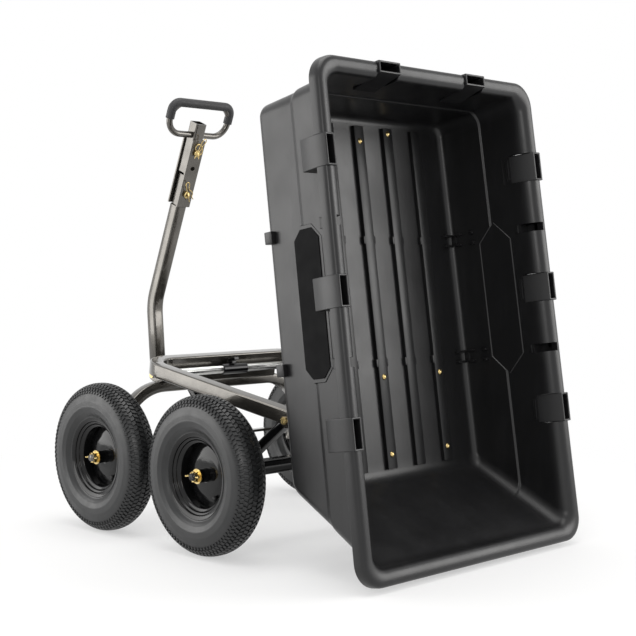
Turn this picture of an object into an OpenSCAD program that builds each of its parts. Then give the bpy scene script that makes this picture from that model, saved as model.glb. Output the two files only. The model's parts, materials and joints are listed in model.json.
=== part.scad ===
// Tipping dump cart: a moulded tub on a bent-tube frame with four pneumatic wheels and a pull handle.
// Millimetres. +X points to the dump end, -X to the handle, +Z up; the wheels stand on z = 0.
// The tub stands tipped, as it empties its load.

/* [Tub] */
// Length of the tub over its rim
tub_length = 1214; // [1150:1:1260]
// Width over the rim at the front end
tub_front_w = 798; // [780:1:812]
// Width over the rim at the dump end
tub_rear_w = 824; // [812:1:840]
// Depth from the rim's crest to the underside of the floor
tub_depth = 285; // [265:1:310]
// Moulded wall
tub_wall = 6; // [4:0.5:8]
// Angle of the rim to level when the tub is tipped
tip_angle = 81.8; // [74:0.1:84]
// Distance along the floor from the dump edge to the tip pivot
tub_pivot_run = 389; // [375:1:395]
// Distance from the tip pivot to the underside of the floor
tub_pivot_drop = 28; // [28:0.5:34]
// Radius of the rim's corners in plan
rim_corner_r = 62; // [50:1:80]
// Width of the rolled rim, from its outer edge to the inner wall
rim_roll_w = 47; // [42:1:52]
// Height of the rim's turned-down lip
rim_lip_h = 34; // [26:1:40]
// Depth of the moulded ledge below the rim's crest
ledge_depth = 142; // [125:1:160]
// Step of the wall at the ledge
ledge_step = 8; // [4:0.5:10]
// Slope run of the dump-end wall, from the rim's edge to the floor
dump_run = 215; // [190:1:235]
// Radius between the walls and the floor
floor_fillet = 20; // [14:1:24]

/* [Floor ribs and dividers] */
// Number of raised ribs along the floor
rib_count = 5; // [3:2:5]
// Distance between the ribs' middles
rib_pitch = 110; // [100:1:115]
// Width of a rib
rib_w = 34; // [24:1:40]
// Height of a rib above the floor
rib_h = 8; // [5:0.5:10]
// Width of a divider-board slot
divider_slot = 22; // [16:1:26]

/* [Stake pockets] */
// Length of a pocket's opening along the rim
pocket_l = 66; // [50:1:72]
// Width of a pocket's opening across the rim
pocket_w = 20; // [16:0.5:22]
// Wall of a pocket
pocket_wall = 4.5; // [3.5:0.5:6]
// Depth of a pocket's box below the rim's crest
pocket_depth = 90; // [76:1:100]
// Height of a pocket above the rim's crest
pocket_proud = 4; // [2:0.5:6]
// Distance between the side pockets
pocket_pitch = 321; // [300:1:330]
// Distance of the middle side pocket from the dump edge
pocket_mid_run = 669; // [655:1:680]
// Distance between the front pockets
front_pocket_pitch = 320; // [280:1:360]

/* [Frame] */
// Side of the frame's square tube
frame_tube = 38; // [34:1:40]
// Wall of the steel tubes
tube_wall = 2.5; // [2:0.25:3]
// Slope of the frame's rails, falling to the dump end
rail_slope = 8.9; // [7:0.1:10]
// Width of the frame over its rails
frame_w = 622; // [600:1:626]
// Length of the frame from the tip pivot to the front face
frame_length = 638; // [625:1:650]
// Outer radius of the frame's front corners
frame_bend_r = 110; // [90:1:130]
// Height of the tip pivot above the ground
pivot_h = 353; // [345:1:360]
// Distance of the tip pivot behind the rear axle
pivot_back = 213; // [205:1:225]
// Distance of the tip pivot below the middle of the rails
pivot_below_rail = 4; // [2:0.5:6]
// Radius of the tip pivot bolts
pivot_bolt_r = 6; // [5:0.5:7]

/* [Axles and wheels] */
// Distance between the front and rear axles
wheelbase = 440; // [436:1:460]
// Distance between the middles of a pair of tyres
track = 792; // [780:1:800]
// Diameter of the tyre
tyre_d = 406; // [396:1:410]
// Width of the tyre
tyre_w = 96; // [86:1:104]
// Radius of the rim's flange
rim_flange_r = 111; // [104:1:116]
// Distance between the rim's flanges, outside
rim_w = 64; // [56:1:70]
// Radius of the axle spindles
spindle_r = 9.5; // [8:0.5:10]
// Length of the wheel hub
hub_l = 78; // [72:1:82]
// Radius of the wheel hub's tube
hub_r = 19; // [16:0.5:22]

/* [Steering] */
// Distance between the kingpins
kingpin_track = 644; // [630:1:646]
// Radius of a kingpin
kingpin_r = 8; // [7:0.5:9]
// Length of the steering arms
steer_arm = 80; // [70:1:90]
// Distance of the steering post in front of the front axle
post_lead = 36; // [32:1:42]
// Radius of the steering post
post_r = 10; // [8:0.5:11]

/* [Handle] */
// Side of the handle's square tube
handle_tube_w = 32; // [28:1:34]
// Distance of the handle's pivot in front of the front axle
handle_lead = 275; // [265:1:290]
// Height of the handle's pivot
handle_h = 388; // [384:1:394]
// Length of the handle from its pivot to its bend
handle_lower = 223; // [200:1:240]
// Forward lean of the lower part
handle_lean = 5.4; // [2:0.1:8]
// Turn of the tube at the bend
handle_turn = 27.9; // [20:0.1:34]
// Length of the handle from its bend to the grip's lower bar
handle_upper = 548; // [520:1:580]
// Width of the grip loop over its middle line
grip_w = 262; // [230:1:290]
// Height of the grip loop over its middle line
grip_h = 94; // [88:1:110]
// Radius of the grip loop's steel rod
grip_rod_r = 9.5; // [8:0.5:10]
// Radius of the rubber grip
grip_sleeve_r = 13; // [12:0.5:15]

/* [Latch] */
// Radius of the release bar
bar_r = 9; // [8:0.5:10]
// Distance of the release bar behind the frame's front face
bar_back = 65; // [62:1:70]

/* [Hidden] */
$fn = 64;
// Overrun of every cut
over = 1;
// Radial clearance of a running fit and of a bolt in its hole
fit = 0.05;
// Gap between flat faces that move past each other
slip = 0.4;
// Radial clearance at the tie bar's outer pivots
loose = 0.3;
// Steps along the corner of a tub ring, and along a tyre's section
corner_steps = 7;
tyre_steps = 26;

// Rim section: crest and edge places measured in from the rim's outer edge
rim_crest_in = 14;
rim_edge_h = 14;
rim_shoulder_in = 4;
rim_shoulder_h = 4;
rim_inner_in = 30;
rim_inner_h = 4;
rim_turn_in = 41;
rim_turn_h = 15;
wall_draft = 8;
lower_draft = 9;
ledge_h = 8;
front_inset_share = 0.88;
dump_lip_w = 45;
inner_corner_r = 40;
floor_corner_r = 34;
fillet_mid_share = 0.293;

// Tub hardware
carrier_t = 4;
carrier_bar_w = 40;
carrier_rear_run = 272;
carrier_front_run = 472;
ear_t = 5;
ear_r = 19;
ear_end = 22;
ear_h = 14;
striker_front_in = 83;
striker_wide = 56;
striker_half_w = 130;
striker_stem_half_w = 25;
striker_rod_r = 5;
striker_half_l = 18;
striker_drop = 26;
bolt_r = 4;
bolt_head_r = 9;
bolt_head_h = 5;
nut_r = 8;
nut_h = 6;
front_bolt_mid_in = 124;
front_bolt_side_in = 98;
plate_l = 352;
plate_h = 88;
plate_point = 40;
plate_t = 2;
plate_depth = 136;
plate_lean = 3.5;
plate_run_back = 14;
plate_in = 46.5;
pad_edge = 9;
pad_back = 14;
recess_h = 66;
rim_notch_in = 16;
rim_notch_h = 52;
guide_l = 26;
guide_w = 6;
guide_h = 12;
socket_l = 30;
socket_w = 14;
socket_h = 22;

// Frame
tube_corner = 5;
bend_slim = 0.1;
bend_lap = 2;
rail_seat = 1;
bolster_in = 61;
bolt_hex_h = 9;
rear_cross_back = 40;
strut_w = 24;
strut_top_run = 14;
strut_front_run = 190;
axle_tube = 38;
plug_t = 10;
arch_tube = 22;
arch_flat = 120;
arch_r = 250;
sleeve_r = 16;
sleeve_top = 330;
post_sleeve_r = 17;
post_web = 24;

// Wheel
rim_t = 3;
bead_r_share = 0.91;
well_r_share = 0.757;
well_w_share = 0.42;
bead_w_share = 0.72;
disc_cone_share = 0.62;
tyre_wall = 8;
section_power = 0.87;
bead_angle = 50;
bush_wall = 4.5;
bush_l = 20;
washer_t = 3;
washer_r = 19;
axle_nut_h = 13;
axle_nut_r = 15;
castle_slot = 4;
spindle_tail = 4.5;
cotter_r = 1.8;
cotter_eye = 5;
cotter_half_l = 20;
valve_r = 4;
valve_l = 20;
valve_cap_r = 5;
valve_turn = 215;

// Steering
block_w = 38;
arm_t = 8;
arm_w = 24;
arm_pin_r = 5;
arm_head_r = 8;
arm_head_h = 4;
cap_r = 13;
cap_h = 4;
cap_nut_h = 9;
fork_t = 6;
fork_w = 44;
fork_l = 84;
post_head_r = 15;
post_head_h = 6;

// Handle
handle_bend_r = 70;
handle_foot = 20;
lug_t = 6;
lug_r = 18;
lug_l = 60;
pin_r = 6;
pin_head_r = 10;
pin_head_h = 6;
channel_wall = 4;
channel_play = 0.2;
channel_start = 328;
channel_gap = 1.5;
tube_end = 424;
stem_start = 432;
stem_end = 586;
lower_pin_run = 368;
tow_hole_run = 450;
tow_hole_r = 6.5;
hitch_pin_run = 499;
grip_corner_r = 40;
sleeve_leg = 16;
ring_r = 11;
ring_wire_r = 1.6;

// Latch
bar_drop = 18;
bracket_in = 75;
bar_past = 4;
bracket_t = 6;
bracket_r = 13;
hook_r = 15;
hook_half_l = 45;
finger_w = 16;
finger_h = 30;
finger_lean = 24;
nose_l = 14;
nose_h = 8;

// Derived sizes
tub_mid_half = (tub_front_w + tub_rear_w) / 4;
floor_top = tub_wall - tub_depth;
kingpin_y = kingpin_track / 2;
rail_y = (frame_w - frame_tube) / 2;
rail_end = tub_pivot_drop - rail_seat;
bend_y = frame_w / 2 - frame_bend_r;
bolster_half_l = frame_w / 2 - bolster_in;
bracket_y = frame_w / 2 - bracket_in;
bar_half_l = bracket_y + bracket_t + bar_past;
// Arch under the bolster, and the bolster from the frame's front tube to the arch
arch_h = pivot_h + (pivot_back + wheelbase - arch_tube / 2) * tan(rail_slope)
    + (pivot_below_rail - 1.5 * frame_tube) / cos(rail_slope) - arch_tube / 2;
arch_reach = (pivot_back + wheelbase) * cos(rail_slope)
    + (arch_h + arch_tube / 2 - pivot_h) * sin(rail_slope);
bolster_front = -max(arch_reach + arch_tube / 2, frame_length);
bolster_back = -min(arch_reach - arch_tube / 2, frame_length - frame_tube);
bend_x = frame_bend_r - frame_length;
wheel_r = tyre_d / 2;
axle_shoulder = kingpin_y + block_w / 2;
hub_in = axle_shoulder + slip;
hub_out = hub_in + hub_l;
nut_in = hub_out + slip + washer_t;
spindle_end = nut_in + axle_nut_h + spindle_tail;
cotter_y = nut_in + axle_nut_h - castle_slot / 2;
post_x = -wheelbase - post_lead;
handle_x = -wheelbase - handle_lead;
handle_straight = handle_lower - handle_bend_r * tan(handle_turn / 2);
handle_front = handle_x - handle_straight * sin(handle_lean) + handle_bend_r * cos(handle_lean)
    - handle_bend_r - handle_tube_w / 2;
tub_rear = pivot_back + (tub_pivot_run - rim_crest_in) * cos(tip_angle)
    + (tub_depth + tub_pivot_drop) * sin(tip_angle);
origin_x = (tub_rear + handle_front) / 2;
channel_end = handle_upper - grip_rod_r - channel_gap;
channel_w = handle_tube_w + 2 * channel_play + 2 * channel_wall;
arm_z = wheel_r - arm_t / 2;
bar_z = wheel_r + arm_t / 2 + slip;
pitman_z = bar_z + arm_t + slip;
plate_run = pocket_mid_run - plate_run_back;
pocket_runs = [pocket_mid_run - pocket_pitch, pocket_mid_run, pocket_mid_run + pocket_pitch];
divider_runs = [pocket_mid_run - pocket_pitch / 2, pocket_mid_run + pocket_pitch / 2];
rib_half_count = (rib_count - 1) / 2;
outer_rib_y = rib_half_count * rib_pitch;
tub_bolt_places = [
    for (run = [carrier_rear_run, carrier_front_run]) for (side = [-1, 0, 1]) [run, side * outer_rib_y],
    [tub_length - front_bolt_mid_in, 0],
    for (side = [-1, 1]) [tub_length - front_bolt_side_in, side * rib_pitch]
];

// Frames of the sub-assemblies
module cart() { translate([-origin_x, 0, 0]) children(); }
module at_tub() {
    cart() translate([pivot_back, 0, pivot_h]) rotate([0, tip_angle, 0]) rotate([0, 0, 180])
        translate([-tub_pivot_run, 0, tub_depth + tub_pivot_drop]) children();
}
module at_rails() {
    cart() translate([pivot_back, 0, pivot_h]) rotate([0, rail_slope, 0])
        translate([0, 0, pivot_below_rail]) children();
}
module at_handle() { cart() translate([handle_x, 0, handle_h]) rotate([0, -handle_lean, 0]) children(); }
module at_upper() {
    at_handle() translate([handle_bend_r, 0, handle_straight]) rotate([0, handle_turn, 0])
        translate([-handle_bend_r, 0, -handle_bend_r * tan(handle_turn / 2)]) children();
}
// side is -1 for the left wheel (-Y) and 1 for the right one; children face out along +Y
module at_hub(axle_x, side) {
    cart() translate([axle_x, 0, wheel_r]) rotate([0, 0, side > 0 ? 0 : 180]) children();
}

// Plain shapes
module rounded_square(w, h, r) {
    square([w, h - 2 * r], center = true);
    square([w - 2 * r, h], center = true);
    for (x = [-1, 1]) for (y = [-1, 1]) translate([x * (w / 2 - r), y * (h / 2 - r)]) circle(r);
}
module tube_section(w, h = 0) {
    tall = h > 0 ? h : w;
    difference() {
        rounded_square(w, tall, tube_corner);
        rounded_square(w - 2 * tube_wall, tall - 2 * tube_wall, tube_corner - tube_wall);
    }
}
// Outside or hollow of a bent tube: its bends are a hair slimmer than the straight runs that lap them
module skin_or_core(w, core, slim = 0) {
    side = (core ? w - 2 * tube_wall : w) - 2 * slim;
    rounded_square(side, side, (core ? tube_corner - tube_wall : tube_corner) - slim);
}
module along_y(l) { rotate([90, 0, 0]) linear_extrude(l, center = true) children(); }
module along_x(l) { rotate([90, 0, 90]) linear_extrude(l) children(); }
module rod_y(r, l) { rotate([90, 0, 0]) cylinder(r = r, h = l, center = true); }
module rod_x(r, l) { rotate([0, 90, 0]) cylinder(r = r, h = l, center = true); }
module block(x, y, z) { translate([x[0], y[0], z[0]]) cube([x[1] - x[0], y[1] - y[0], z[1] - z[0]]); }
module ring(inner, outer, h) {
    difference() {
        cylinder(r = outer, h = h);
        translate([0, 0, -over]) cylinder(r = inner, h = h + 2 * over);
    }
}
module hex_nut(inner, outer, h) {
    difference() {
        cylinder(r = outer, h = h, $fn = 6);
        translate([0, 0, -over]) cylinder(r = inner, h = h + 2 * over);
    }
}

// Tub: rings of a rounded plan, from the underside up the outside, over the rim and down the inside
function plan_taper(run) =
    (tub_rear_w + (tub_front_w - tub_rear_w) * run / tub_length) / (2 * tub_mid_half);
function plan_ring(h, side_in, front_in, dump_in, r) =
    let (half = tub_mid_half - side_in, front = tub_length - front_in,
        centres = [[front - r, half - r], [dump_in + r, half - r],
            [dump_in + r, r - half], [front - r, r - half]])
    [for (corner = [0:3]) for (step = [0:corner_steps])
        let (turn = 90 * (corner + step / corner_steps),
            run = centres[corner][0] + r * cos(turn), y = centres[corner][1] + r * sin(turn))
        [run, y * plan_taper(run), h]];
function dump_in_at(h) =
    dump_lip_w + (dump_run - dump_lip_w) * (-h - rim_lip_h) / (-floor_top - rim_lip_h);
function wall_in_at(h) = rim_roll_w + (h > -ledge_depth - ledge_h / 2
    ? wall_draft * (-h - rim_lip_h) / (ledge_depth - rim_lip_h)
    : wall_draft + ledge_step + lower_draft * (-h - ledge_depth) / (tub_depth - ledge_depth));
function wall_ring(h, skin, extra, r) = let (side = wall_in_at(h) - skin + extra)
    plan_ring(h, side, front_inset_share * side, dump_in_at(h) - skin + extra, r);
function rim_ring(h, in, r) = plan_ring(h, in, in, in, r);
function fillet_rings(floor_h, skin, up) = [for (part = up ? [0, 0.5, 1] : [1, 0.5, 0])
    let (h = floor_h + floor_fillet * (part == 0 ? 0 : part == 1 ? 1 : fillet_mid_share),
        extra = floor_fillet * (part == 0 ? 1 : part == 1 ? 0 : fillet_mid_share))
    wall_ring(h, skin, extra, floor_corner_r)];
outer_rings = concat(
    fillet_rings(-tub_depth, tub_wall, true),
    [wall_ring(-ledge_depth - ledge_h - tub_wall, tub_wall, 0, inner_corner_r),
     wall_ring(-ledge_depth - tub_wall + ledge_h / 2, tub_wall, 0, inner_corner_r),
     wall_ring(-rim_lip_h - tub_wall, tub_wall, 0, inner_corner_r),
     rim_ring(-rim_turn_h - tub_wall, rim_inner_in, rim_corner_r - rim_crest_in),
     rim_ring(-rim_lip_h, tub_wall, rim_corner_r - tub_wall),
     rim_ring(-rim_lip_h, 0, rim_corner_r),
     rim_ring(-rim_edge_h, 0, rim_corner_r),
     rim_ring(-rim_shoulder_h, rim_shoulder_in, rim_corner_r - rim_shoulder_in),
     rim_ring(0, rim_crest_in, rim_corner_r - rim_crest_in)]);
inner_rings = concat(
    [rim_ring(-rim_inner_h, rim_inner_in, inner_corner_r),
     rim_ring(-rim_turn_h, rim_turn_in, inner_corner_r),
     wall_ring(-rim_lip_h, 0, 0, inner_corner_r),
     wall_ring(-ledge_depth, 0, 0, inner_corner_r),
     wall_ring(-ledge_depth - ledge_h, 0, 0, inner_corner_r)],
    fillet_rings(floor_top, 0, false));
module lofted(rings) {
    count = len(rings[0]);
    last = len(rings) - 1;
    points = [for (one = rings) for (p = one) p];
    sides = [for (i = [0:last - 1]) for (j = [0:count - 1]) let (k = (j + 1) % count)
        each [[i * count + j, (i + 1) * count + j, (i + 1) * count + k],
              [i * count + j, (i + 1) * count + k, i * count + k]]];
    polyhedron(points, concat(sides, [[for (j = [0:count - 1]) j]],
        [[for (j = [count - 1:-1:0]) last * count + j]]));
}
// Half-width of the rim's outer edge at a place along the tub
function rim_half(run) = tub_mid_half * plan_taper(run);
module floor_ribs() {
    rib_start = dump_run + floor_fillet;
    rib_stop = tub_length - front_inset_share * wall_in_at(floor_top) - floor_fillet;
    for (i = [-rib_half_count:rib_half_count])
        difference() {
            block([rib_start, rib_stop], [i * rib_pitch - rib_w / 2, i * rib_pitch + rib_w / 2],
                [floor_top - tub_wall / 2, floor_top + rib_h]);
            for (run = divider_runs)
                block([run - divider_slot / 2, run + divider_slot / 2],
                    [i * rib_pitch - rib_w, i * rib_pitch + rib_w], [floor_top, floor_top + 2 * rib_h]);
        }
}
// Cut that takes a stake pocket at a place along one side
module pocket_notch() {
    block([-pocket_l / 2 - pocket_wall, pocket_l / 2 + pocket_wall], [-rim_roll_w - wall_draft, over],
        [-pocket_depth, pocket_proud + over]);
}
// Stake pocket; y = 0 is the rim's outer edge, z = 0 its crest
module stake_pocket() {
    slot_out = -pocket_wall;
    slot_in = slot_out - pocket_w;
    difference() {
        translate([-pocket_l / 2 - pocket_wall, 0, 0]) along_x(pocket_l + 2 * pocket_wall)
            polygon([[slot_in - pocket_wall, pocket_proud], [0, pocket_proud], [0, -rim_lip_h],
                [slot_out - pocket_wall, -pocket_depth], [-rim_roll_w - pocket_wall, -pocket_depth]]);
        translate([-pocket_l / 2, 0, 0]) along_x(pocket_l)
            polygon([[slot_in, pocket_proud + over], [slot_out, pocket_proud + over],
                [slot_out - pocket_wall, pocket_wall - pocket_depth],
                [slot_in - pocket_wall, pocket_wall - pocket_depth]]);
    }
}
module side_pockets(side) {
    color("#26272a") at_tub() for (run = pocket_runs) translate([run, side * rim_half(run), 0])
        rotate([0, 0, side > 0 ? 0 : 180]) stake_pocket();
}
// Long hexagon, and its place on a side wall: z = 0 is the seat of the plate, +z points out
module hexagon(l, h) {
    point = plate_point * h / plate_h;
    polygon([[-l / 2, 0], [point - l / 2, -h / 2], [l / 2 - point, -h / 2],
        [l / 2, 0], [l / 2 - point, h / 2], [point - l / 2, h / 2]]);
}
module at_plate(side) {
    plan_turn = atan((tub_rear_w - tub_front_w) / (2 * tub_length));
    translate([plate_run, side * (rim_half(plate_run) - plate_in), -plate_depth])
        rotate([0, 0, -side * plan_turn]) rotate([90 + plate_lean, 0, side > 0 ? 180 : 0]) children();
}
// Guides for a divider board inside the foot of the walls, and the sockets that show outside
module divider_guides() {
    foot = wall_in_at(floor_top) + floor_fillet / 2;
    for (run = divider_runs) for (side = [-1, 1])
        translate([run, side * (rim_half(run) - foot), floor_top]) rotate([0, 0, side > 0 ? 0 : 180]) {
            for (end = [-1, 1]) translate([end * (divider_slot + guide_w) / 2, 0, 0])
                block([-guide_w / 2, guide_w / 2], [-guide_l, floor_fillet / 4], [-tub_wall / 2, guide_h]);
            block([-socket_l / 2, socket_l / 2], [floor_fillet / 4, floor_fillet / 2 + socket_w],
                [-tub_wall, socket_h]);
        }
}
module tub_shell() {
    color("#2b2c2f") at_tub() difference() {
        union() {
            lofted(concat(outer_rings, inner_rings));
            floor_ribs();
            divider_guides();
            for (side = [-1, 1]) at_plate(side) translate([0, 0, -pad_back])
                linear_extrude(pad_back) hexagon(plate_l + 2 * pad_edge, plate_h + 2 * pad_edge);
        }
        for (side = [-1, 1]) at_plate(side) translate([0, 0, -2 * rim_roll_w - tub_wall])
            linear_extrude(2 * rim_roll_w) hexagon(plate_l, recess_h);
        for (run = pocket_runs) for (side = [-1, 1])
            translate([run, side * rim_half(run), 0]) rotate([0, 0, side > 0 ? 0 : 180]) pocket_notch();
        for (side = [-1, 1]) translate([tub_length, side * front_pocket_pitch / 2, 0])
            rotate([0, 0, -90]) pocket_notch();
        for (run = divider_runs) for (side = [-1, 1])
            translate([run, side * rim_half(run), 0]) rotate([0, 0, side > 0 ? 0 : 180])
                block([-divider_slot / 2, divider_slot / 2], [-rim_roll_w - wall_draft, -rim_notch_in],
                    [-rim_notch_h, over]);
        for (place = tub_bolt_places) translate([place[0], place[1], -tub_depth - over])
            cylinder(r = bolt_r + fit, h = tub_wall + rib_h + 2 * over);
    }
}
module stake_pockets_left() { side_pockets(1); }
module stake_pockets_right() { side_pockets(-1); }
module stake_pockets_front() {
    color("#26272a") at_tub() for (side = [-1, 1])
        translate([tub_length, side * front_pocket_pitch / 2, 0]) rotate([0, 0, -90]) stake_pocket();
}
module tub_carrier() {
    ear_y = frame_w / 2 + slip;
    pivot_n = -tub_depth - tub_pivot_drop;
    color("#8b8a86") at_tub() difference() {
        union() {
            for (run = [carrier_rear_run, carrier_front_run])
                block([run - carrier_bar_w / 2, run + carrier_bar_w / 2], [-ear_y - ear_t, ear_y + ear_t],
                    [-tub_depth - carrier_t, -tub_depth]);
            for (side = [-1, 1]) translate([0, side * (ear_y + ear_t / 2), 0]) {
                block([carrier_rear_run - ear_end, carrier_front_run + ear_end], [-ear_t / 2, ear_t / 2],
                    [-tub_depth - ear_h, -tub_depth]);
                block([tub_pivot_run - ear_r, tub_pivot_run + ear_r], [-ear_t / 2, ear_t / 2],
                    [pivot_n, -tub_depth]);
                translate([tub_pivot_run, 0, pivot_n]) rod_y(ear_r, ear_t);
            }
        }
        translate([tub_pivot_run, 0, pivot_n]) rod_y(pivot_bolt_r + fit, frame_w + 4 * ear_t);
        for (place = tub_bolt_places) translate([place[0], place[1], -tub_depth - carrier_t - over])
            cylinder(r = bolt_r + fit, h = carrier_t + 2 * over);
    }
}
module latch_striker() {
    stem_back = tub_pivot_run + frame_length - bar_back - finger_w / 2 - 2 * striker_rod_r;
    plate_back = stem_back - 2 * striker_rod_r;
    striker_front_run = tub_length - striker_front_in;
    wide_back = striker_front_run - striker_wide;
    color("#8b8a86") at_tub() difference() {
        union() {
            block([wide_back, striker_front_run], [-striker_half_w, striker_half_w],
                [-tub_depth - carrier_t, -tub_depth]);
            block([plate_back, wide_back], [-striker_stem_half_w, striker_stem_half_w],
                [-tub_depth - carrier_t, -tub_depth]);
            for (side = [-1, 1]) translate([stem_back, side * striker_half_l, -tub_depth - striker_drop])
                cylinder(r = striker_rod_r, h = striker_drop - carrier_t / 2);
            translate([stem_back, 0, -tub_depth - striker_drop])
                rod_y(striker_rod_r, 2 * (striker_half_l + striker_rod_r));
        }
        for (place = tub_bolt_places) translate([place[0], place[1], -tub_depth - carrier_t - over])
            cylinder(r = bolt_r + fit, h = carrier_t + 2 * over);
    }
}
module tub_bolts() {
    rib_top = floor_top + rib_h;
    tail = -tub_depth - carrier_t - nut_h - bolt_r / 2;
    color("#c9a24a") at_tub() for (place = tub_bolt_places) translate([place[0], place[1], 0]) {
        translate([0, 0, tail]) cylinder(r = bolt_r, h = rib_top - tail);
        translate([0, 0, rib_top]) rotate_extrude() intersection() {
            translate([0, bolt_head_h - bolt_head_r]) circle(bolt_head_r);
            square([bolt_head_r, bolt_head_h]);
        }
    }
}
module tub_nuts() {
    color("#c9a24a") at_tub() for (place = tub_bolt_places)
        translate([place[0], place[1], -tub_depth - carrier_t - nut_h]) hex_nut(bolt_r + fit, nut_r, nut_h);
}
// Bare six-sided plates on the outside of the tub's long walls
module side_plates() {
    color("#141416") at_tub() for (side = [-1, 1])
        at_plate(side) linear_extrude(plate_t) hexagon(plate_l, plate_h);
}

// Frame
module frame_loop() {
    color("#8f8d89") at_rails() difference() {
        union() {
            translate([frame_tube / 2 - frame_length, 0, 0]) along_y(2 * bend_y) tube_section(frame_tube);
            for (side = [-1, 1]) {
                translate([bend_x, side * bend_y, 0]) rotate([0, 0, side > 0 ? 90 : 180])
                    rotate_extrude(angle = 90) translate([frame_bend_r - frame_tube / 2, 0])
                    tube_section(frame_tube);
                translate([bend_x, side * rail_y, 0]) along_x(rail_end - bend_x) tube_section(frame_tube);
            }
        }
        translate([0, 0, -pivot_below_rail]) rod_y(pivot_bolt_r + fit, frame_w + 2 * over);
        difference() {
            block([0, 2 * rail_end], [-frame_w, frame_w], [-frame_tube, frame_tube]);
            translate([0, 0, -pivot_below_rail]) rod_y(rail_end, 2 * frame_w + 2 * over);
        }
    }
}
module front_bolster() {
    color("#5b5a58") at_rails() translate([(bolster_front + bolster_back) / 2, 0, -frame_tube])
        along_y(2 * bolster_half_l) tube_section(bolster_back - bolster_front, frame_tube);
}
module rear_cross_tube() {
    color("#8f8d89") at_rails() translate([-rear_cross_back, 0, 0])
        along_y(2 * rail_y - frame_tube) tube_section(frame_tube);
}
module tip_pivot_bolts() {
    ear_out = frame_w / 2 + slip + ear_t + slip;
    color("#c9a24a") at_rails() for (side = [-1, 1])
        translate([0, 0, -pivot_below_rail]) rotate([0, 0, side > 0 ? 0 : 180]) {
            translate([0, (ear_out + rail_y - frame_tube / 2 - slip) / 2, 0])
                rod_y(pivot_bolt_r, ear_out - rail_y + frame_tube / 2 + slip);
            translate([0, ear_out, 0]) rotate([-90, 0, 0]) cylinder(r = pin_head_r, h = bolt_hex_h, $fn = 6);
            translate([0, rail_y - frame_tube / 2 - slip - bolt_hex_h, 0]) rotate([-90, 0, 0])
                cylinder(r = pin_head_r, h = bolt_hex_h, $fn = 6);
        }
}
module release_bar_brackets() {
    across = bracket_y + bracket_t - bend_y;
    root = bend_x - sqrt(pow(frame_bend_r - frame_tube, 2) - across * across);
    color("#1c1c1e") at_rails() for (side = [-1, 1])
        translate([bar_back - frame_length, side * (bracket_y + bracket_t / 2), -bar_drop]) difference() {
            union() {
                rod_y(bracket_r, bracket_t);
                block([root + frame_length - bar_back, 0], [-bracket_t / 2, bracket_t / 2],
                    [bar_drop - frame_tube / 2, bracket_r]);
            }
            rod_y(bar_r + fit, bracket_t + 2 * over);
        }
}
module arch_run(core) {
    sweep = asin((kingpin_y - arch_flat) / arch_r);
    translate([-wheelbase, 0, arch_h]) along_y(2 * (arch_flat + bend_lap)) skin_or_core(arch_tube, core);
    for (side = [-1, 1])
        translate([-wheelbase, side * arch_flat, arch_h - arch_r]) rotate([0, 0, side > 0 ? 90 : -90])
            rotate([90, 0, 0]) rotate([0, 0, 90 - sweep]) rotate_extrude(angle = sweep)
            translate([arch_r, 0]) skin_or_core(arch_tube, core, bend_slim);
}
module front_arch() {
    block_top = wheel_r + block_w / 2;
    color("#7d7b77") cart() difference() {
        union() {
            difference() {
                arch_run(false);
                arch_run(true);
            }
            for (side = [-1, 1]) translate([-wheelbase, side * kingpin_y, block_top + slip])
                cylinder(r = sleeve_r, h = sleeve_top - block_top - slip);
            translate([post_x, 0, handle_h - handle_tube_w / 2 + slip])
                cylinder(r = post_sleeve_r, h = handle_tube_w - 2 * slip);
            block([post_x, -wheelbase - arch_tube / 2 + tube_wall / 2], [-post_web / 2, post_web / 2],
                [handle_h - arch_tube / 2, handle_h + arch_tube / 2]);
        }
        for (side = [-1, 1]) translate([-wheelbase, side * kingpin_y, wheel_r])
            cylinder(r = kingpin_r + fit, h = sleeve_top);
        translate([post_x, 0, 0]) cylinder(r = post_r + fit, h = 2 * arch_h);
    }
}
module strut(from, to) {
    run = to - from;
    translate([from[0], 0, from[1]]) rotate([0, 90 - atan2(run[1], run[0]), 0])
        linear_extrude(norm(run)) tube_section(strut_w);
}
module spindle() {
    translate([0, axle_shoulder - plug_t, 0]) rotate([-90, 0, 0]) difference() {
        cylinder(r = spindle_r, h = spindle_end - axle_shoulder + plug_t);
        translate([0, 0, cotter_y - axle_shoulder + plug_t]) rod_x(cotter_r + fit, 4 * spindle_r);
    }
}
module rear_axle() {
    top = [pivot_back - strut_top_run * cos(rail_slope), pivot_h];
    front = [-strut_front_run, pivot_h + (pivot_back + strut_front_run) * tan(rail_slope)];
    color("#3a3a3c") cart() difference() {
        union() {
            translate([0, 0, wheel_r]) along_y(2 * axle_shoulder) tube_section(axle_tube);
            for (side = [-1, 1]) translate([0, 0, wheel_r]) rotate([0, 0, side > 0 ? 0 : 180]) {
                block([-axle_tube / 2 + tube_wall, axle_tube / 2 - tube_wall],
                    [axle_shoulder - plug_t, axle_shoulder],
                    [-axle_tube / 2 + tube_wall, axle_tube / 2 - tube_wall]);
                spindle();
            }
            for (side = [-1, 1]) translate([0, side * rail_y, 0]) for (end = [top, front])
                difference() {
                    strut([0, wheel_r], end);
                    translate([0, 0, wheel_r]) along_y(2 * strut_w)
                        square(axle_tube - tube_wall, center = true);
                }
        }
        translate([pivot_back, 0, pivot_h]) rotate([0, rail_slope, 0])
            block([-frame_length, 2 * rail_end], [-frame_w, frame_w],
                [pivot_below_rail - frame_tube / 2, frame_tube]);
    }
}

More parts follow.
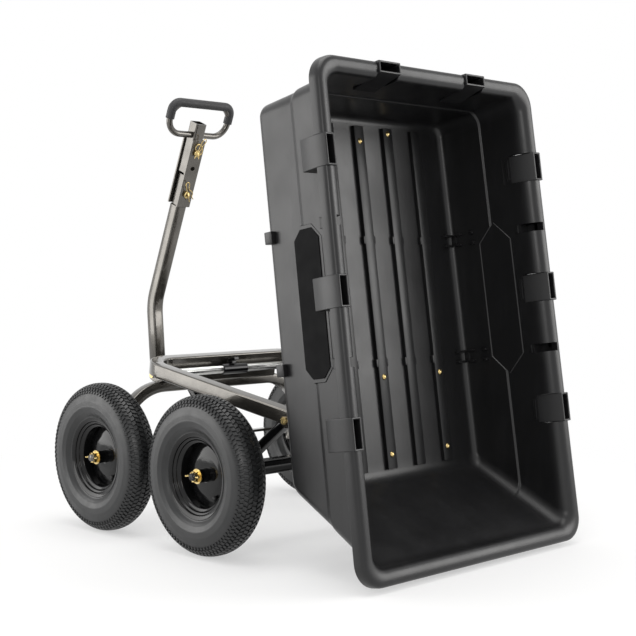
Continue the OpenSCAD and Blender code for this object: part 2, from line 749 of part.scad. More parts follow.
// Wheel: drawn about the Y axis with +Y outwards; y = 0 is the tyre's middle plane
wheel_y = track / 2;
module turned() { rotate([-90, 0, 0]) rotate_extrude() children(); }
well_r = rim_flange_r * well_r_share;
well_y = rim_w / 2 * well_w_share;
module barrel_section() {
    half = rim_w / 2;
    bead_r = rim_flange_r * bead_r_share;
    path = [[rim_flange_r, half], [bead_r, half - rim_t], [bead_r, half * bead_w_share], [well_r, well_y]];
    outside = concat(path, [for (i = [3:-1:0]) [path[i][0], -path[i][1]]]);
    polygon(concat(outside, [for (i = [7:-1:0]) [outside[i][0] - rim_t, outside[i][1]]]));
}
module disc_section() {
    cone_r = well_r * disc_cone_share;
    hub_mid = (hub_in + hub_out) / 2 - wheel_y;
    bore = spindle_r + bush_wall;
    hub_low = hub_in - wheel_y;
    polygon([[bore, hub_low], [hub_r, hub_low], [hub_r, hub_mid + rim_t], [cone_r, -well_y / 2],
        [well_r - rim_t / 2, -well_y], [well_r - rim_t / 2, rim_t - well_y], [cone_r, rim_t - well_y / 2],
        [hub_r, hub_mid + 2 * rim_t], [hub_r, hub_low + hub_l], [bore, hub_low + hub_l]]);
}
function section_point(turn, half_w, half_h) = [
    wheel_r - tyre_section_h + half_h * sign(sin(turn)) * pow(abs(sin(turn)), section_power),
    half_w * sign(cos(turn)) * pow(abs(cos(turn)), section_power)];
tyre_section_h = (wheel_r - rim_flange_r * bead_r_share) / 2;
module tyre_section() {
    turns = [for (i = [0:tyre_steps]) -bead_angle + (180 + 2 * bead_angle) * i / tyre_steps];
    seat_r = rim_flange_r * bead_r_share;
    toe_y = rim_w / 2 * bead_w_share + slip;
    heel_y = rim_w / 2 - rim_t - slip;
    flange = [rim_flange_r + slip, rim_w / 2 - slip];
    polygon(concat([[seat_r, toe_y], [seat_r, heel_y], flange],
        [for (turn = turns) section_point(turn, tyre_w / 2, tyre_section_h)],
        [[flange[0], -flange[1]], [seat_r, -heel_y], [seat_r, -toe_y]],
        [for (i = [tyre_steps:-1:0])
            section_point(turns[i], tyre_w / 2 - tyre_wall, tyre_section_h - tyre_wall)]));
}
module tyre(axle_x, side) {
    color("#343537") at_hub(axle_x, side) translate([0, wheel_y, 0]) turned() tyre_section();
}
module rim(axle_x, side) {
    color("#161618") at_hub(axle_x, side) translate([0, wheel_y, 0]) {
        turned() barrel_section();
        turned() disc_section();
    }
}
module bushes(axle_x, side) {
    color("#d8d4c8") at_hub(axle_x, side) for (end = [hub_in, hub_out - bush_l])
        translate([0, end, 0]) rotate([-90, 0, 0]) ring(spindle_r + fit, spindle_r + bush_wall - fit, bush_l);
}
module valve(axle_x, side) {
    seat = well_r - rim_t;
    color("#0f0f10") at_hub(axle_x, side) translate([0, wheel_y, 0]) rotate([0, valve_turn, 0])
        translate([0, 0, seat - valve_l]) {
            cylinder(r = valve_r, h = valve_l);
            cylinder(r = valve_cap_r, h = valve_l / 2);
        }
}
module washer(axle_x, side) {
    color("#c9a24a") at_hub(axle_x, side) translate([0, hub_out + slip, 0]) rotate([-90, 0, 0])
        ring(spindle_r + fit, washer_r, washer_t);
}
module axle_nut(axle_x, side) {
    color("#c9a24a") at_hub(axle_x, side) translate([0, nut_in, 0]) rotate([-90, 0, 0]) difference() {
        hex_nut(spindle_r + fit, axle_nut_r, axle_nut_h);
        for (i = [0:2]) rotate([0, 0, 60 * i]) translate([0, 0, axle_nut_h])
            cube([4 * axle_nut_r, castle_slot, 2 * castle_slot], center = true);
    }
}
module cotter_pin(axle_x, side) {
    color("#d7b45c") at_hub(axle_x, side) translate([0, cotter_y, 0]) {
        rod_x(cotter_r, 2 * cotter_half_l);
        translate([cotter_half_l + cotter_eye - cotter_r, 0, 0]) rotate_extrude()
            translate([cotter_eye, 0]) circle(cotter_r, $fn = 24);
    }
}
module rear_axle_washers() { for (side = [-1, 1]) washer(0, side); }
module rear_axle_nuts() { for (side = [-1, 1]) axle_nut(0, side); }
module rear_cotter_pins() { for (side = [-1, 1]) cotter_pin(0, side); }

// Steering
module knuckle(side) {
    color("#4a4a4b") at_hub(-wheelbase, side) {
        difference() {
            translate([0, kingpin_y, 0]) cube(block_w, center = true);
            translate([0, axle_shoulder, 0]) rod_y(spindle_r, 2 * plug_t);
        }
        spindle();
        translate([0, kingpin_y, block_w / 2])
            cylinder(r = kingpin_r, h = sleeve_top - wheel_r - block_w / 2 + cap_h);
        translate([0, kingpin_y, sleeve_top - wheel_r + slip]) cylinder(r = cap_r, h = cap_h);
        translate([0, kingpin_y, sleeve_top - wheel_r + slip + cap_h])
            cylinder(r = cap_r, h = cap_nut_h, $fn = 6);
        arm_end = side > 0 ? -steer_arm : steer_arm;
        translate([min(arm_end, 0), kingpin_y - arm_w / 2, -arm_t / 2]) cube([steer_arm, arm_w, arm_t]);
        translate([arm_end, kingpin_y, -arm_t / 2]) cylinder(r = arm_w / 2, h = arm_t);
        translate([arm_end, kingpin_y, 0]) cylinder(r = arm_pin_r, h = pitman_z - wheel_r);
        translate([arm_end, kingpin_y, pitman_z - wheel_r]) cylinder(r = arm_head_r, h = arm_head_h);
    }
}
module tie_bar() {
    color("#4a4a4b") cart() difference() {
        union() {
            block([-wheelbase - steer_arm - arm_w / 2, -wheelbase - steer_arm + arm_w / 2],
                [-kingpin_y, kingpin_y], [bar_z, bar_z + arm_t]);
            block([post_x - steer_arm, -wheelbase - steer_arm], [-arm_w / 2, arm_w / 2],
                [bar_z, bar_z + arm_t]);
            translate([post_x - steer_arm, 0, bar_z]) cylinder(r = arm_w / 2, h = arm_t);
            for (side = [-1, 1]) translate([-wheelbase - steer_arm, side * kingpin_y, bar_z])
                cylinder(r = arm_w / 2, h = arm_t);
        }
        translate([post_x - steer_arm, 0, bar_z - over]) cylinder(r = arm_pin_r + fit, h = arm_t + 2 * over);
        for (side = [-1, 1]) translate([-wheelbase - steer_arm, side * kingpin_y, bar_z - over])
            cylinder(r = arm_pin_r + loose, h = arm_t + 2 * over);
    }
}
module tongue() {
    half = handle_tube_w / 2;
    back = post_x - post_sleeve_r - 4 * slip;
    front = handle_x + norm([half, handle_foot]) + 2 * slip;
    color("#7d7b77") cart() difference() {
        union() {
            translate([front, 0, handle_h]) along_x(back - front) tube_section(handle_tube_w);
            for (z = [handle_h + half, handle_h - half - fork_t]) {
                block([post_x - fork_l, post_x], [-fork_w / 2, fork_w / 2], [z, z + fork_t]);
                translate([post_x, 0, z]) cylinder(r = fork_w / 2, h = fork_t);
            }
            for (side = [-1, 1]) translate([0, side * (half + slip + lug_t / 2), 0]) {
                block([handle_x, handle_x + lug_l], [-lug_t / 2, lug_t / 2],
                    [handle_h - lug_r, handle_h + lug_r]);
                translate([handle_x, 0, handle_h]) rod_y(lug_r, lug_t);
            }
            for (side = [-1, 1]) block([front, handle_x + lug_l],
                [side > 0 ? half - tube_wall / 2 : -half - slip - lug_t / 2,
                 side > 0 ? half + slip + lug_t / 2 : tube_wall / 2 - half],
                [handle_h - half / 2, handle_h + half / 2]);
        }
        translate([post_x, 0, 0]) cylinder(r = post_r + fit, h = 2 * handle_h);
        translate([handle_x, 0, handle_h]) rod_y(pin_r + fit, 4 * handle_tube_w);
    }
}
module steering_post() {
    fork_top = handle_h + handle_tube_w / 2 + fork_t;
    color("#4a4a4b") cart() {
        translate([post_x, 0, pitman_z]) cylinder(r = post_r, h = fork_top - pitman_z);
        translate([post_x, 0, fork_top]) cylinder(r = post_head_r, h = post_head_h, $fn = 6);
        block([post_x - steer_arm, post_x], [-arm_w / 2, arm_w / 2], [pitman_z, pitman_z + arm_t]);
        for (x = [post_x, post_x - steer_arm]) translate([x, 0, pitman_z]) cylinder(r = arm_w / 2, h = arm_t);
        translate([post_x - steer_arm, 0, arm_z]) cylinder(r = arm_pin_r, h = pitman_z - arm_z);
    }
}
module tongue_bolt() {
    head_y = handle_tube_w / 2 + slip + lug_t;
    color("#c9a24a") cart() translate([handle_x, 0, handle_h]) {
        rod_y(pin_r, 2 * head_y);
        for (side = [-1, 1]) translate([0, side * (head_y + pin_head_h / 2), 0]) rotate([90, 0, 0])
            cylinder(r = pin_head_r, h = pin_head_h, center = true, $fn = 6);
    }
}

// Handle
module handle_run(core) {
    bend_run = handle_bend_r * tan(handle_turn / 2);
    open_end = core ? over : 0;
    at_handle() translate([0, 0, -handle_foot - open_end])
        linear_extrude(handle_straight + handle_foot + open_end + bend_lap) skin_or_core(handle_tube_w, core);
    at_handle() translate([handle_bend_r, 0, handle_straight]) rotate([90, 0, 0])
        rotate([0, 0, 180 - handle_turn]) rotate_extrude(angle = handle_turn)
        translate([handle_bend_r, 0]) skin_or_core(handle_tube_w, core, bend_slim);
    at_upper() translate([0, 0, bend_run - bend_lap])
        linear_extrude(tube_end - bend_run + open_end + bend_lap) skin_or_core(handle_tube_w, core);
}
module handle_tube() {
    color("#8f8d89") difference() {
        handle_run(false);
        handle_run(true);
        at_handle() rod_y(pin_r + fit, 2 * handle_tube_w);
        at_upper() translate([0, 0, lower_pin_run]) rod_x(pin_r + fit, 2 * handle_tube_w);
    }
}
module tow_channel() {
    half = channel_w / 2;
    inner = half - channel_wall;
    color("#8f8d89") at_upper() difference() {
        block([-half, half], [-half, half], [channel_start, channel_end]);
        block([-inner, inner], [-half - over, inner], [channel_start - over, channel_end + over]);
        translate([0, 0, lower_pin_run]) rod_x(pin_r + fit, 2 * channel_w);
        translate([0, 0, tow_hole_run]) rod_x(tow_hole_r, 2 * channel_w);
        translate([0, 0, hitch_pin_run]) rod_x(pin_r + fit, 2 * channel_w);
    }
}
module grip_stem() {
    color("#8f8d89") at_upper() difference() {
        translate([0, 0, stem_start]) linear_extrude(stem_end - stem_start) tube_section(handle_tube_w);
        translate([0, 0, tow_hole_run]) rod_x(tow_hole_r, 2 * channel_w);
        translate([0, 0, hitch_pin_run]) rod_x(pin_r + fit, 2 * channel_w);
        translate([0, 0, handle_upper]) rod_y(grip_rod_r + fit, 2 * channel_w);
    }
}
// Path of the grip: a rounded loop in the plane across the handle
module grip_bar(z) {
    translate([0, 0, z]) rotate([90, 0, 0]) linear_extrude(grip_w - 2 * grip_corner_r, center = true) children();
}
module grip_corner(side, up) {
    y = side * (grip_w / 2 - grip_corner_r);
    z = up ? grip_h - grip_corner_r : grip_corner_r;
    turn = side > 0 ? (up ? 0 : 270) : (up ? 90 : 180);
    translate([0, y, z]) rotate([90, 0, 90]) rotate([0, 0, turn]) rotate_extrude(angle = 90)
        translate([grip_corner_r, 0]) children();
}
module grip_loop() {
    color("#a5a29c") at_upper() translate([0, 0, handle_upper]) {
        for (z = [0, grip_h]) grip_bar(z) circle(grip_rod_r);
        for (side = [-1, 1]) {
            for (up = [false, true]) grip_corner(side, up) circle(grip_rod_r);
            translate([0, side * grip_w / 2, grip_corner_r])
                cylinder(r = grip_rod_r, h = grip_h - 2 * grip_corner_r);
        }
    }
}
module sleeve_section() {
    difference() {
        circle(grip_sleeve_r);
        circle(grip_rod_r + fit);
    }
}
module grip_sleeve() {
    leg = min(sleeve_leg, grip_h - 2 * grip_corner_r);
    color("#2d2d2f") at_upper() translate([0, 0, handle_upper]) {
        grip_bar(grip_h) sleeve_section();
        for (side = [-1, 1]) {
            grip_corner(side, true) sleeve_section();
            translate([0, side * grip_w / 2, grip_h - grip_corner_r - leg])
                linear_extrude(leg) sleeve_section();
        }
    }
}
module pin_through(run, ring_side) {
    half = channel_w / 2;
    translate([0, 0, run]) {
        rod_x(pin_r, channel_w + 2 * pin_head_h);
        translate([half + slip, 0, 0]) rotate([0, 90, 0]) cylinder(r = pin_head_r, h = pin_head_h);
        if (ring_side) translate([half + slip + pin_head_h / 2, 0, pin_head_r + ring_r - 2 * ring_wire_r])
            rotate([90, 0, 90]) rotate_extrude() translate([ring_r, 0]) circle(ring_wire_r, $fn = 24);
    }
}
module channel_pin() { color("#c9a24a") at_upper() pin_through(lower_pin_run, false); }
module hitch_pin() { color("#c9a24a") at_upper() pin_through(hitch_pin_run, true); }

// Latch
module release_bar() {
    color("#d9d9d6") at_rails() translate([bar_back - frame_length, 0, -bar_drop])
        rod_y(bar_r, 2 * bar_half_l);
}
module latch_hook() {
    color("#161618") at_rails() translate([bar_back - frame_length, 0, -bar_drop])
        rotate([0, -finger_lean, 0]) difference() {
            union() {
                rod_y(hook_r, 2 * hook_half_l);
                block([-finger_w / 2, finger_w / 2], [-finger_w / 2, finger_w / 2], [0, finger_h]);
                block([0, finger_w / 2 + nose_l], [-finger_w / 2, finger_w / 2],
                    [finger_h - nose_h, finger_h]);
            }
            rod_y(bar_r + fit, 3 * hook_half_l);
        }
}

module tyre_front_left() { tyre(-wheelbase, -1); }
module tyre_front_right() { tyre(-wheelbase, 1); }
module tyre_rear_left() { tyre(0, -1); }
module tyre_rear_right() { tyre(0, 1); }
module rim_front_left() { rim(-wheelbase, -1); }
module rim_front_right() { rim(-wheelbase, 1); }
module rim_rear_left() { rim(0, -1); }
module rim_rear_right() { rim(0, 1); }
module bushes_front_left() { bushes(-wheelbase, -1); }
module bushes_front_right() { bushes(-wheelbase, 1); }
module bushes_rear_left() { bushes(0, -1); }
module bushes_rear_right() { bushes(0, 1); }
module valve_front_left() { valve(-wheelbase, -1); }
module valve_front_right() { valve(-wheelbase, 1); }
module valve_rear_left() { valve(0, -1); }
module valve_rear_right() { valve(0, 1); }
module knuckle_left() { knuckle(-1); }
module knuckle_right() { knuckle(1); }
module washer_left() { washer(-wheelbase, -1); }
module washer_right() { washer(-wheelbase, 1); }
module axle_nut_left() { axle_nut(-wheelbase, -1); }
module axle_nut_right() { axle_nut(-wheelbase, 1); }
module cotter_pin_left() { cotter_pin(-wheelbase, -1); }
module cotter_pin_right() { cotter_pin(-wheelbase, 1); }

frame_loop();
front_bolster();
front_arch();
rear_axle();
rear_cross_tube();
tip_pivot_bolts();
release_bar_brackets();
rear_axle_washers();
rear_axle_nuts();
rear_cotter_pins();
tub_shell();
stake_pockets_left();
stake_pockets_right();
stake_pockets_front();
tub_carrier();
latch_striker();
tub_bolts();
tub_nuts();
side_plates();
tyre_front_left();
rim_front_left();
bushes_front_left();
valve_front_left();
tyre_front_right();
rim_front_right();
bushes_front_right();
valve_front_right();
tyre_rear_left();
rim_rear_left();
bushes_rear_left();
valve_rear_left();
tyre_rear_right();
rim_rear_right();
bushes_rear_right();
valve_rear_right();
knuckle_left();
washer_left();
axle_nut_left();
cotter_pin_left();
knuckle_right();
washer_right();
axle_nut_right();
cotter_pin_right();
tongue();
steering_post();
tongue_bolt();
tie_bar();
handle_tube();
tow_channel();
grip_stem();
grip_loop();
grip_sleeve();
channel_pin();
hitch_pin();
release_bar();
latch_hook();
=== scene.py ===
"""Looks of a tipping dump cart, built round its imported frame.

Metres throughout, in the frame of the part: +X points to the dump end, -Y to the left, +Z up.
"""

from __future__ import annotations

import json
import logging
import math
from dataclasses import dataclass, field
from enum import Enum
from typing import Any, Protocol, Sequence

import bmesh
import bpy
from mathutils import Matrix, Vector

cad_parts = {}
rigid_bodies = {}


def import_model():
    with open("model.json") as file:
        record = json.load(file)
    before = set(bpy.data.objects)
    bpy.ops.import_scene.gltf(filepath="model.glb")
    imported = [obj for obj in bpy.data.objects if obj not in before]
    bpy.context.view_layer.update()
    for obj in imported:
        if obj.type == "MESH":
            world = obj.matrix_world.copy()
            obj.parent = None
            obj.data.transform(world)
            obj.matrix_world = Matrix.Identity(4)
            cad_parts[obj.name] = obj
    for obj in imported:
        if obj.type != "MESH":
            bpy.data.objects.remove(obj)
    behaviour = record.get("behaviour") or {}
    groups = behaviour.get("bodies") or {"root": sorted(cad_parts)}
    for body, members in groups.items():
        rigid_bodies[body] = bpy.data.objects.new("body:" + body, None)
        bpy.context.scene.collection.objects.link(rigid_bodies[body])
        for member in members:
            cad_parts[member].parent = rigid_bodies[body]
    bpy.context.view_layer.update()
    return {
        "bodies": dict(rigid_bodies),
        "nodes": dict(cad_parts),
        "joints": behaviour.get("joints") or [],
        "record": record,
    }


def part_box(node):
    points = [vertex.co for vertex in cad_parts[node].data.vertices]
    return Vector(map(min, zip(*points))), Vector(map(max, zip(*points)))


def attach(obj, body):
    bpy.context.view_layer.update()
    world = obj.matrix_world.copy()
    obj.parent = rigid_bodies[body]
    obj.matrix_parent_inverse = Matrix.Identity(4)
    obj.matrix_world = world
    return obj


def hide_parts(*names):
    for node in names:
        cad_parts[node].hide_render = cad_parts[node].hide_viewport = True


LOG = logging.getLogger("dump_cart")
MM = 0.001
SIDES = (-1, 1)
Pair = tuple[float, float]
Triple = tuple[float, float, float]

# Rounding: how edges are bevelled, and the most of a run that a corner's curve or arc takes.
ROUND_EDGE: dict[str, Any] = {"segments": 2, "profile": 0.5, "affect": "EDGES"}
SOFT = 0.001
CURVE_SHARE = 0.48
ARC_SHARE = 0.499
CURVE_STEPS = 4
ROD_SOFT = 0.0015
ROD_STEPS = 28
TUBE_CORNER_STEPS = 3
WIRE_ROUND_STEPS, WIRE_RUN_STEPS = 3, 6
TINY = 1e-9

# Sockets of a Mix node that blends colours.
MIX_FACTOR, MIX_A, MIX_B, MIX_RESULT = 0, 6, 7, 2
# Parts of the noise's range that patches, streaks and gloss are spread over.
PATCH_RANGE: Pair = (0.32, 0.68)
STREAK_RANGE: Pair = (0.5, 0.8)
GLOSS_RANGE: Pair = (0.3, 0.7)
GLOSS_PER_PATCH = 2.3
COAT_ROUGHNESS = 0.06


# Node and mesh tools


def linear(code: str) -> tuple[float, float, float, float]:
    """Turns an sRGB hex colour into linear RGBA.

    Args:
        code: Colour as six hex digits after a hash sign.

    Returns:
        The linear colour with an alpha of one.
    """
    parts = [int(code[i:i + 2], 16) / 255 for i in (1, 3, 5)]
    red, green, blue = (p / 12.92 if p <= 0.04045 else ((p + 0.055) / 1.055) ** 2.4 for p in parts)
    return red, green, blue, 1.0


def add_node(tree: bpy.types.NodeTree, kind: str, sockets: dict[Any, Any] | None = None,
             **settings: Any) -> bpy.types.Node:
    """Adds one node to a tree, with its settings, values and links.

    Args:
        tree: Tree that takes the node.
        kind: Blender's name of the node's type.
        sockets: Value, or socket to link from, for each input by name or number.
        **settings: Properties of the node.

    Returns:
        The new node.
    """
    made = tree.nodes.new(kind)
    for key, value in settings.items():
        setattr(made, key, value)
    for key, value in (sockets or {}).items():
        if isinstance(value, bpy.types.NodeSocket):
            tree.links.new(value, made.inputs[key])
        else:
            made.inputs[key].default_value = value
    return made


def add_object(name: str, data: bpy.types.ID) -> bpy.types.Object:
    """Adds an object to the scene.

    Args:
        name: Name of the object.
        data: Its mesh, curve, lamp or camera.

    Returns:
        The new object, at the origin.
    """
    made = bpy.data.objects.new(name, data)
    bpy.context.scene.collection.objects.link(made)
    return made


def as_object(name: str, mesh: bmesh.types.BMesh, recalc: bool = True) -> bpy.types.Object:
    """Makes a scene object from a bmesh and frees the bmesh.

    Args:
        name: Name of the piece.
        mesh: Its faces.
        recalc: Whether its faces are turned outwards first.

    Returns:
        The new object, at the origin.
    """
    if recalc:
        bmesh.ops.recalc_face_normals(mesh, faces=mesh.faces[:])
    data = bpy.data.meshes.new(name)
    mesh.to_mesh(data)
    mesh.free()
    return add_object(name, data)


def bake(piece: bpy.types.Object) -> bpy.types.Object:
    """Turns a piece's modifiers into its plain mesh and removes them.

    Args:
        piece: Object with modifiers.

    Returns:
        The same object.
    """
    graph = bpy.context.evaluated_depsgraph_get()
    graph.update()
    baked = bpy.data.meshes.new_from_object(piece.evaluated_get(graph))
    piece.modifiers.clear()
    piece.data = baked
    return piece


def shade(piece: bpy.types.Object, degrees: float = 32.0) -> bpy.types.Object:
    """Shades a piece smooth, with sharper edges left sharp.

    Args:
        piece: The piece.
        degrees: Angle over which an edge stays sharp.

    Returns:
        The same piece.
    """
    piece.data.polygons.foreach_set("use_smooth", [True] * len(piece.data.polygons))
    piece.data.set_sharp_from_angle(angle=math.radians(degrees))
    return piece


def absorb(target: bmesh.types.BMesh, piece: bpy.types.Object) -> None:
    """Adds a piece's faces to a bmesh and deletes the piece."""
    target.from_mesh(piece.data)
    bpy.data.objects.remove(piece)


def loft(mesh: bmesh.types.BMesh, rings: Sequence[Sequence[bmesh.types.BMVert]],
         loop: bool = False, shut: bool = True) -> None:
    """Joins rings of points by four-sided faces.

    Args:
        mesh: Mesh that grows.
        rings: Rings with equal numbers of points, in order.
        loop: Whether the last ring joins the first.
        shut: Whether the ends are closed, where there is no loop.
    """
    for low, high in zip(rings, [*rings[1:], *(rings[:1] if loop else ())]):
        for j in range(len(low)):
            k = (j + 1) % len(low)
            mesh.faces.new((low[j], low[k], high[k], high[j]))
    if shut and not loop:
        mesh.faces.new(rings[0])
        mesh.faces.new(rings[-1])


def add_box(mesh: bmesh.types.BMesh, low: Sequence[float], high: Sequence[float],
            place: Matrix | None = None, soft: float = 0.0) -> None:
    """Adds a box, with rounded edges where asked.

    Args:
        mesh: Mesh that grows.
        low: Lowest corner.
        high: Highest corner.
        place: Where the box is put.
        soft: Width of its rounded edges.
    """
    size = Vector(high) - Vector(low)
    shift = Matrix.Translation((Vector(high) + Vector(low)) / 2) @ Matrix.Diagonal((*size, 1.0))
    made = bmesh.ops.create_cube(mesh, size=1.0, matrix=(place or Matrix()) @ shift)
    if soft:
        edges = list({edge for vert in made["verts"] for edge in vert.link_edges})
        bmesh.ops.bevel(mesh, geom=edges, offset=soft, **ROUND_EDGE)


def soft_corner(back: Vector, here: Vector, ahead: Vector, shares: Sequence[float],
                steps: int) -> list[Vector]:
    """Rounds one corner with a short curve.

    Args:
        back: Point before the corner.
        here: The corner.
        ahead: Point after it.
        shares: Where the curve starts and ends, as shares of the two runs.
        steps: Parts of the curve.

    Returns:
        The points of the curve.
    """
    start, end = here + (back - here) * shares[0], here + (ahead - here) * shares[1]
    made = []
    for k in range(steps + 1):
        t = k / steps
        made.append(start * (1 - t) ** 2 + here * (2 * t * (1 - t)) + end * t * t)
    return made


def rounded(path: Sequence[Pair], reach: float) -> list[Pair]:
    """Rounds the corners of a closed outline with short curves.

    Args:
        path: Corners of the outline.
        reach: How far a curve starts from its corner, at most.

    Returns:
        The rounded outline.
    """
    made: list[Pair] = []
    for i, corner in enumerate(path):
        here, back, ahead = Vector(corner), Vector(path[i - 1]), Vector(path[(i + 1) % len(path)])
        shares = [min(CURVE_SHARE, reach / max((point - here).length, TINY))
                  for point in (back, ahead)]
        made += [tuple(point) for point in soft_corner(back, here, ahead, shares, CURVE_STEPS)]
    return made


def bent(path: Sequence[Pair], radius: float, steps: int = 6, closed: bool = False) -> list[Pair]:
    """Bends a path's corners to round arcs.

    Args:
        path: Corners of the path.
        radius: Radius of the arcs, less where a run is too short for it.
        steps: Parts of each arc.
        closed: Whether the path goes back to its start.

    Returns:
        The bent path.
    """
    made: list[Pair] = []
    for i, corner in enumerate(path):
        if not closed and i in (0, len(path) - 1):
            made.append(corner)
            continue
        here, back, ahead = Vector(corner), Vector(path[i - 1]), Vector(path[(i + 1) % len(path)])
        one, two = (back - here).normalized(), (ahead - here).normalized()
        half = one.angle(two) / 2
        shortest = min((back - here).length, (ahead - here).length)
        reach = min(radius / math.tan(half), ARC_SHARE * shortest)
        middle = here + (one + two).normalized() * (reach / math.cos(half))
        arm = here + one * reach - middle
        turn = (math.pi - 2 * half) * (1 if one.x * two.y - one.y * two.x < 0 else -1)
        for k in range(steps + 1):
            made.append(tuple(middle + Matrix.Rotation(turn * k / steps, 2) @ arm))
    return made


def sweep(mesh: bmesh.types.BMesh, path: Sequence[Pair], section: Sequence[Pair], place: Matrix,
          closed: bool = False, grow: Sequence[float] = ()) -> None:
    """Sweeps a closed section along a flat path, with its ends shut.

    Args:
        mesh: Mesh that grows.
        path: Points (x, z) of the middle line before it is placed.
        section: Points (outwards, across) of the section.
        place: Where the swept form is put.
        closed: Whether the path goes back to its start.
        grow: Growth of the section at each point, where it changes.
    """
    rings = []
    for i, (x, z) in enumerate(path):
        g = grow[i] if grow else 1.0
        back = path[i - 1] if closed or i else path[0]
        ahead = path[(i + 1) % len(path)] if closed or i + 1 < len(path) else path[-1]
        along = Vector((ahead[0] - back[0], ahead[1] - back[1])).normalized()
        points = [(x + along.y * u * g, v * g, z - along.x * u * g) for u, v in section]
        rings.append([mesh.verts.new(place @ Vector(point)) for point in points])
    loft(mesh, rings, loop=closed)


def square_section(width: float, corner: float) -> list[Pair]:
    """Returns the section of a square tube with round corners."""
    half = width / 2
    return bent(((half, half), (-half, half), (-half, -half), (half, -half)), corner,
                TUBE_CORNER_STEPS, closed=True)


def round_section(radius: float, steps: int = 20) -> list[Pair]:
    """Returns the section of a round bar."""
    turns = [math.tau * k / steps for k in range(steps)]
    return [(radius * math.cos(turn), radius * math.sin(turn)) for turn in turns]


def add_prism(mesh: bmesh.types.BMesh, outline: Sequence[Pair], ends: Pair, place: Matrix) -> None:
    """Adds a prism along X, with its (y, z) outline between two ends on X, put at a place."""
    loft(mesh, [[mesh.verts.new(place @ Vector((x, y, z))) for y, z in outline] for x in ends])


def add_rod(mesh: bmesh.types.BMesh, radius: float, ends: Pair, place: Matrix) -> None:
    """Adds an upright round bar with softened ends.

    Args:
        mesh: Mesh that grows.
        radius: Its radius.
        ends: Heights of its foot and its top.
        place: Where it is put.
    """
    low, high = ends
    levels = ((low, radius - ROD_SOFT), (low + ROD_SOFT, radius),
              (high - ROD_SOFT, radius), (high, radius - ROD_SOFT))
    loft(mesh, [[mesh.verts.new(place @ Vector((x, y, z))) for x, y in round_section(r, ROD_STEPS)]
                for z, r in levels])


def revolve(mesh: bmesh.types.BMesh, outline: Sequence[Pair], steps: int) -> None:
    """Revolves a closed outline of (radius, y) points about the Y axis in a number of steps."""
    turns = [math.tau * i / steps for i in range(steps)]
    loft(mesh, [[mesh.verts.new((r * math.sin(turn), y, r * math.cos(turn))) for r, y in outline]
                for turn in turns], loop=True)


def repeat_tree(material: bpy.types.Material) -> bpy.types.NodeTree:
    """Builds the Geometry Nodes tree that repeats a shape along a line or round an axis.

    Args:
        material: Finish of the copies.

    Returns:
        The tree, with inputs Count, Start, Step and Turn.
    """
    tree = bpy.data.node_groups.new("Repeat " + material.name, "GeometryNodeTree")
    for name, side, kind in (("Geometry", "INPUT", "Geometry"), ("Count", "INPUT", "Int"),
                             ("Start", "INPUT", "Vector"), ("Step", "INPUT", "Vector"),
                             ("Turn", "INPUT", "Vector"), ("Geometry", "OUTPUT", "Geometry")):
        tree.interface.new_socket(name, in_out=side, socket_type="NodeSocket" + kind)
    given = add_node(tree, "NodeGroupInput").outputs
    line = add_node(tree, "GeometryNodeMeshLine", {
        "Count": given["Count"], "Start Location": given["Start"], "Offset": given["Step"]},
        mode="OFFSET")
    index = add_node(tree, "GeometryNodeInputIndex")
    turn = add_node(tree, "ShaderNodeVectorMath", {0: given["Turn"], "Scale": index.outputs[0]},
                    operation="SCALE")
    rotation = add_node(tree, "FunctionNodeEulerToRotation", {0: turn.outputs[0]})
    copies = add_node(tree, "GeometryNodeInstanceOnPoints", {
        "Points": line.outputs[0], "Instance": given["Geometry"], "Rotation": rotation.outputs[0]})
    real = add_node(tree, "GeometryNodeRealizeInstances", {0: copies.outputs[0]})
    dressed = add_node(tree, "GeometryNodeSetMaterial", {
        "Geometry": real.outputs[0], "Material": material})
    add_node(tree, "NodeGroupOutput", {0: dressed.outputs[0]})
    return tree


def repeat(piece: bpy.types.Object, material: bpy.types.Material, count: int,
           start: Triple = (0, 0, 0), step: Triple = (0, 0, 0),
           turn: Triple = (0, 0, 0)) -> bpy.types.Object:
    """Repeats a piece with Geometry Nodes and makes the result its plain mesh.

    Args:
        piece: Object with the one shape.
        material: Finish of the copies.
        count: Number of copies.
        start: Place of the first.
        step: Distance from one to the next.
        turn: Angles from one to the next.

    Returns:
        The same object, with all the copies.
    """
    tree = repeat_tree(material)
    modifier = piece.modifiers.new("Repeat", "NODES")
    modifier.node_group = tree
    values = {"Count": count, "Start": start, "Step": step, "Turn": turn}
    for item in tree.interface.items_tree:
        if item.in_out == "INPUT" and item.name in values:
            modifier[item.identifier] = values[item.name]
    piece.update_tag()
    return bake(piece)


def wire(name: str, points: Sequence[Vector], radius: float) -> bpy.types.Object:
    """Makes a bent round wire as a mesh.

    Args:
        name: Name of the piece.
        points: Its middle line.
        radius: Half its thickness.

    Returns:
        The wire, at the origin.
    """
    curve = bpy.data.curves.new(name, "CURVE")
    curve.dimensions, curve.bevel_depth, curve.use_fill_caps = "3D", radius, True
    curve.bevel_resolution, curve.resolution_u = WIRE_ROUND_STEPS, WIRE_RUN_STEPS
    spline = curve.splines.new("BEZIER")
    spline.bezier_points.add(len(points) - 1)
    for knot, point in zip(spline.bezier_points, points):
        knot.co, knot.handle_left_type, knot.handle_right_type = point, "AUTO", "AUTO"
    holder = add_object(name + "_path", curve)
    graph = bpy.context.evaluated_depsgraph_get()
    mesh = bpy.data.meshes.new_from_object(holder.evaluated_get(graph))
    bpy.data.objects.remove(holder)
    return add_object(name, mesh)


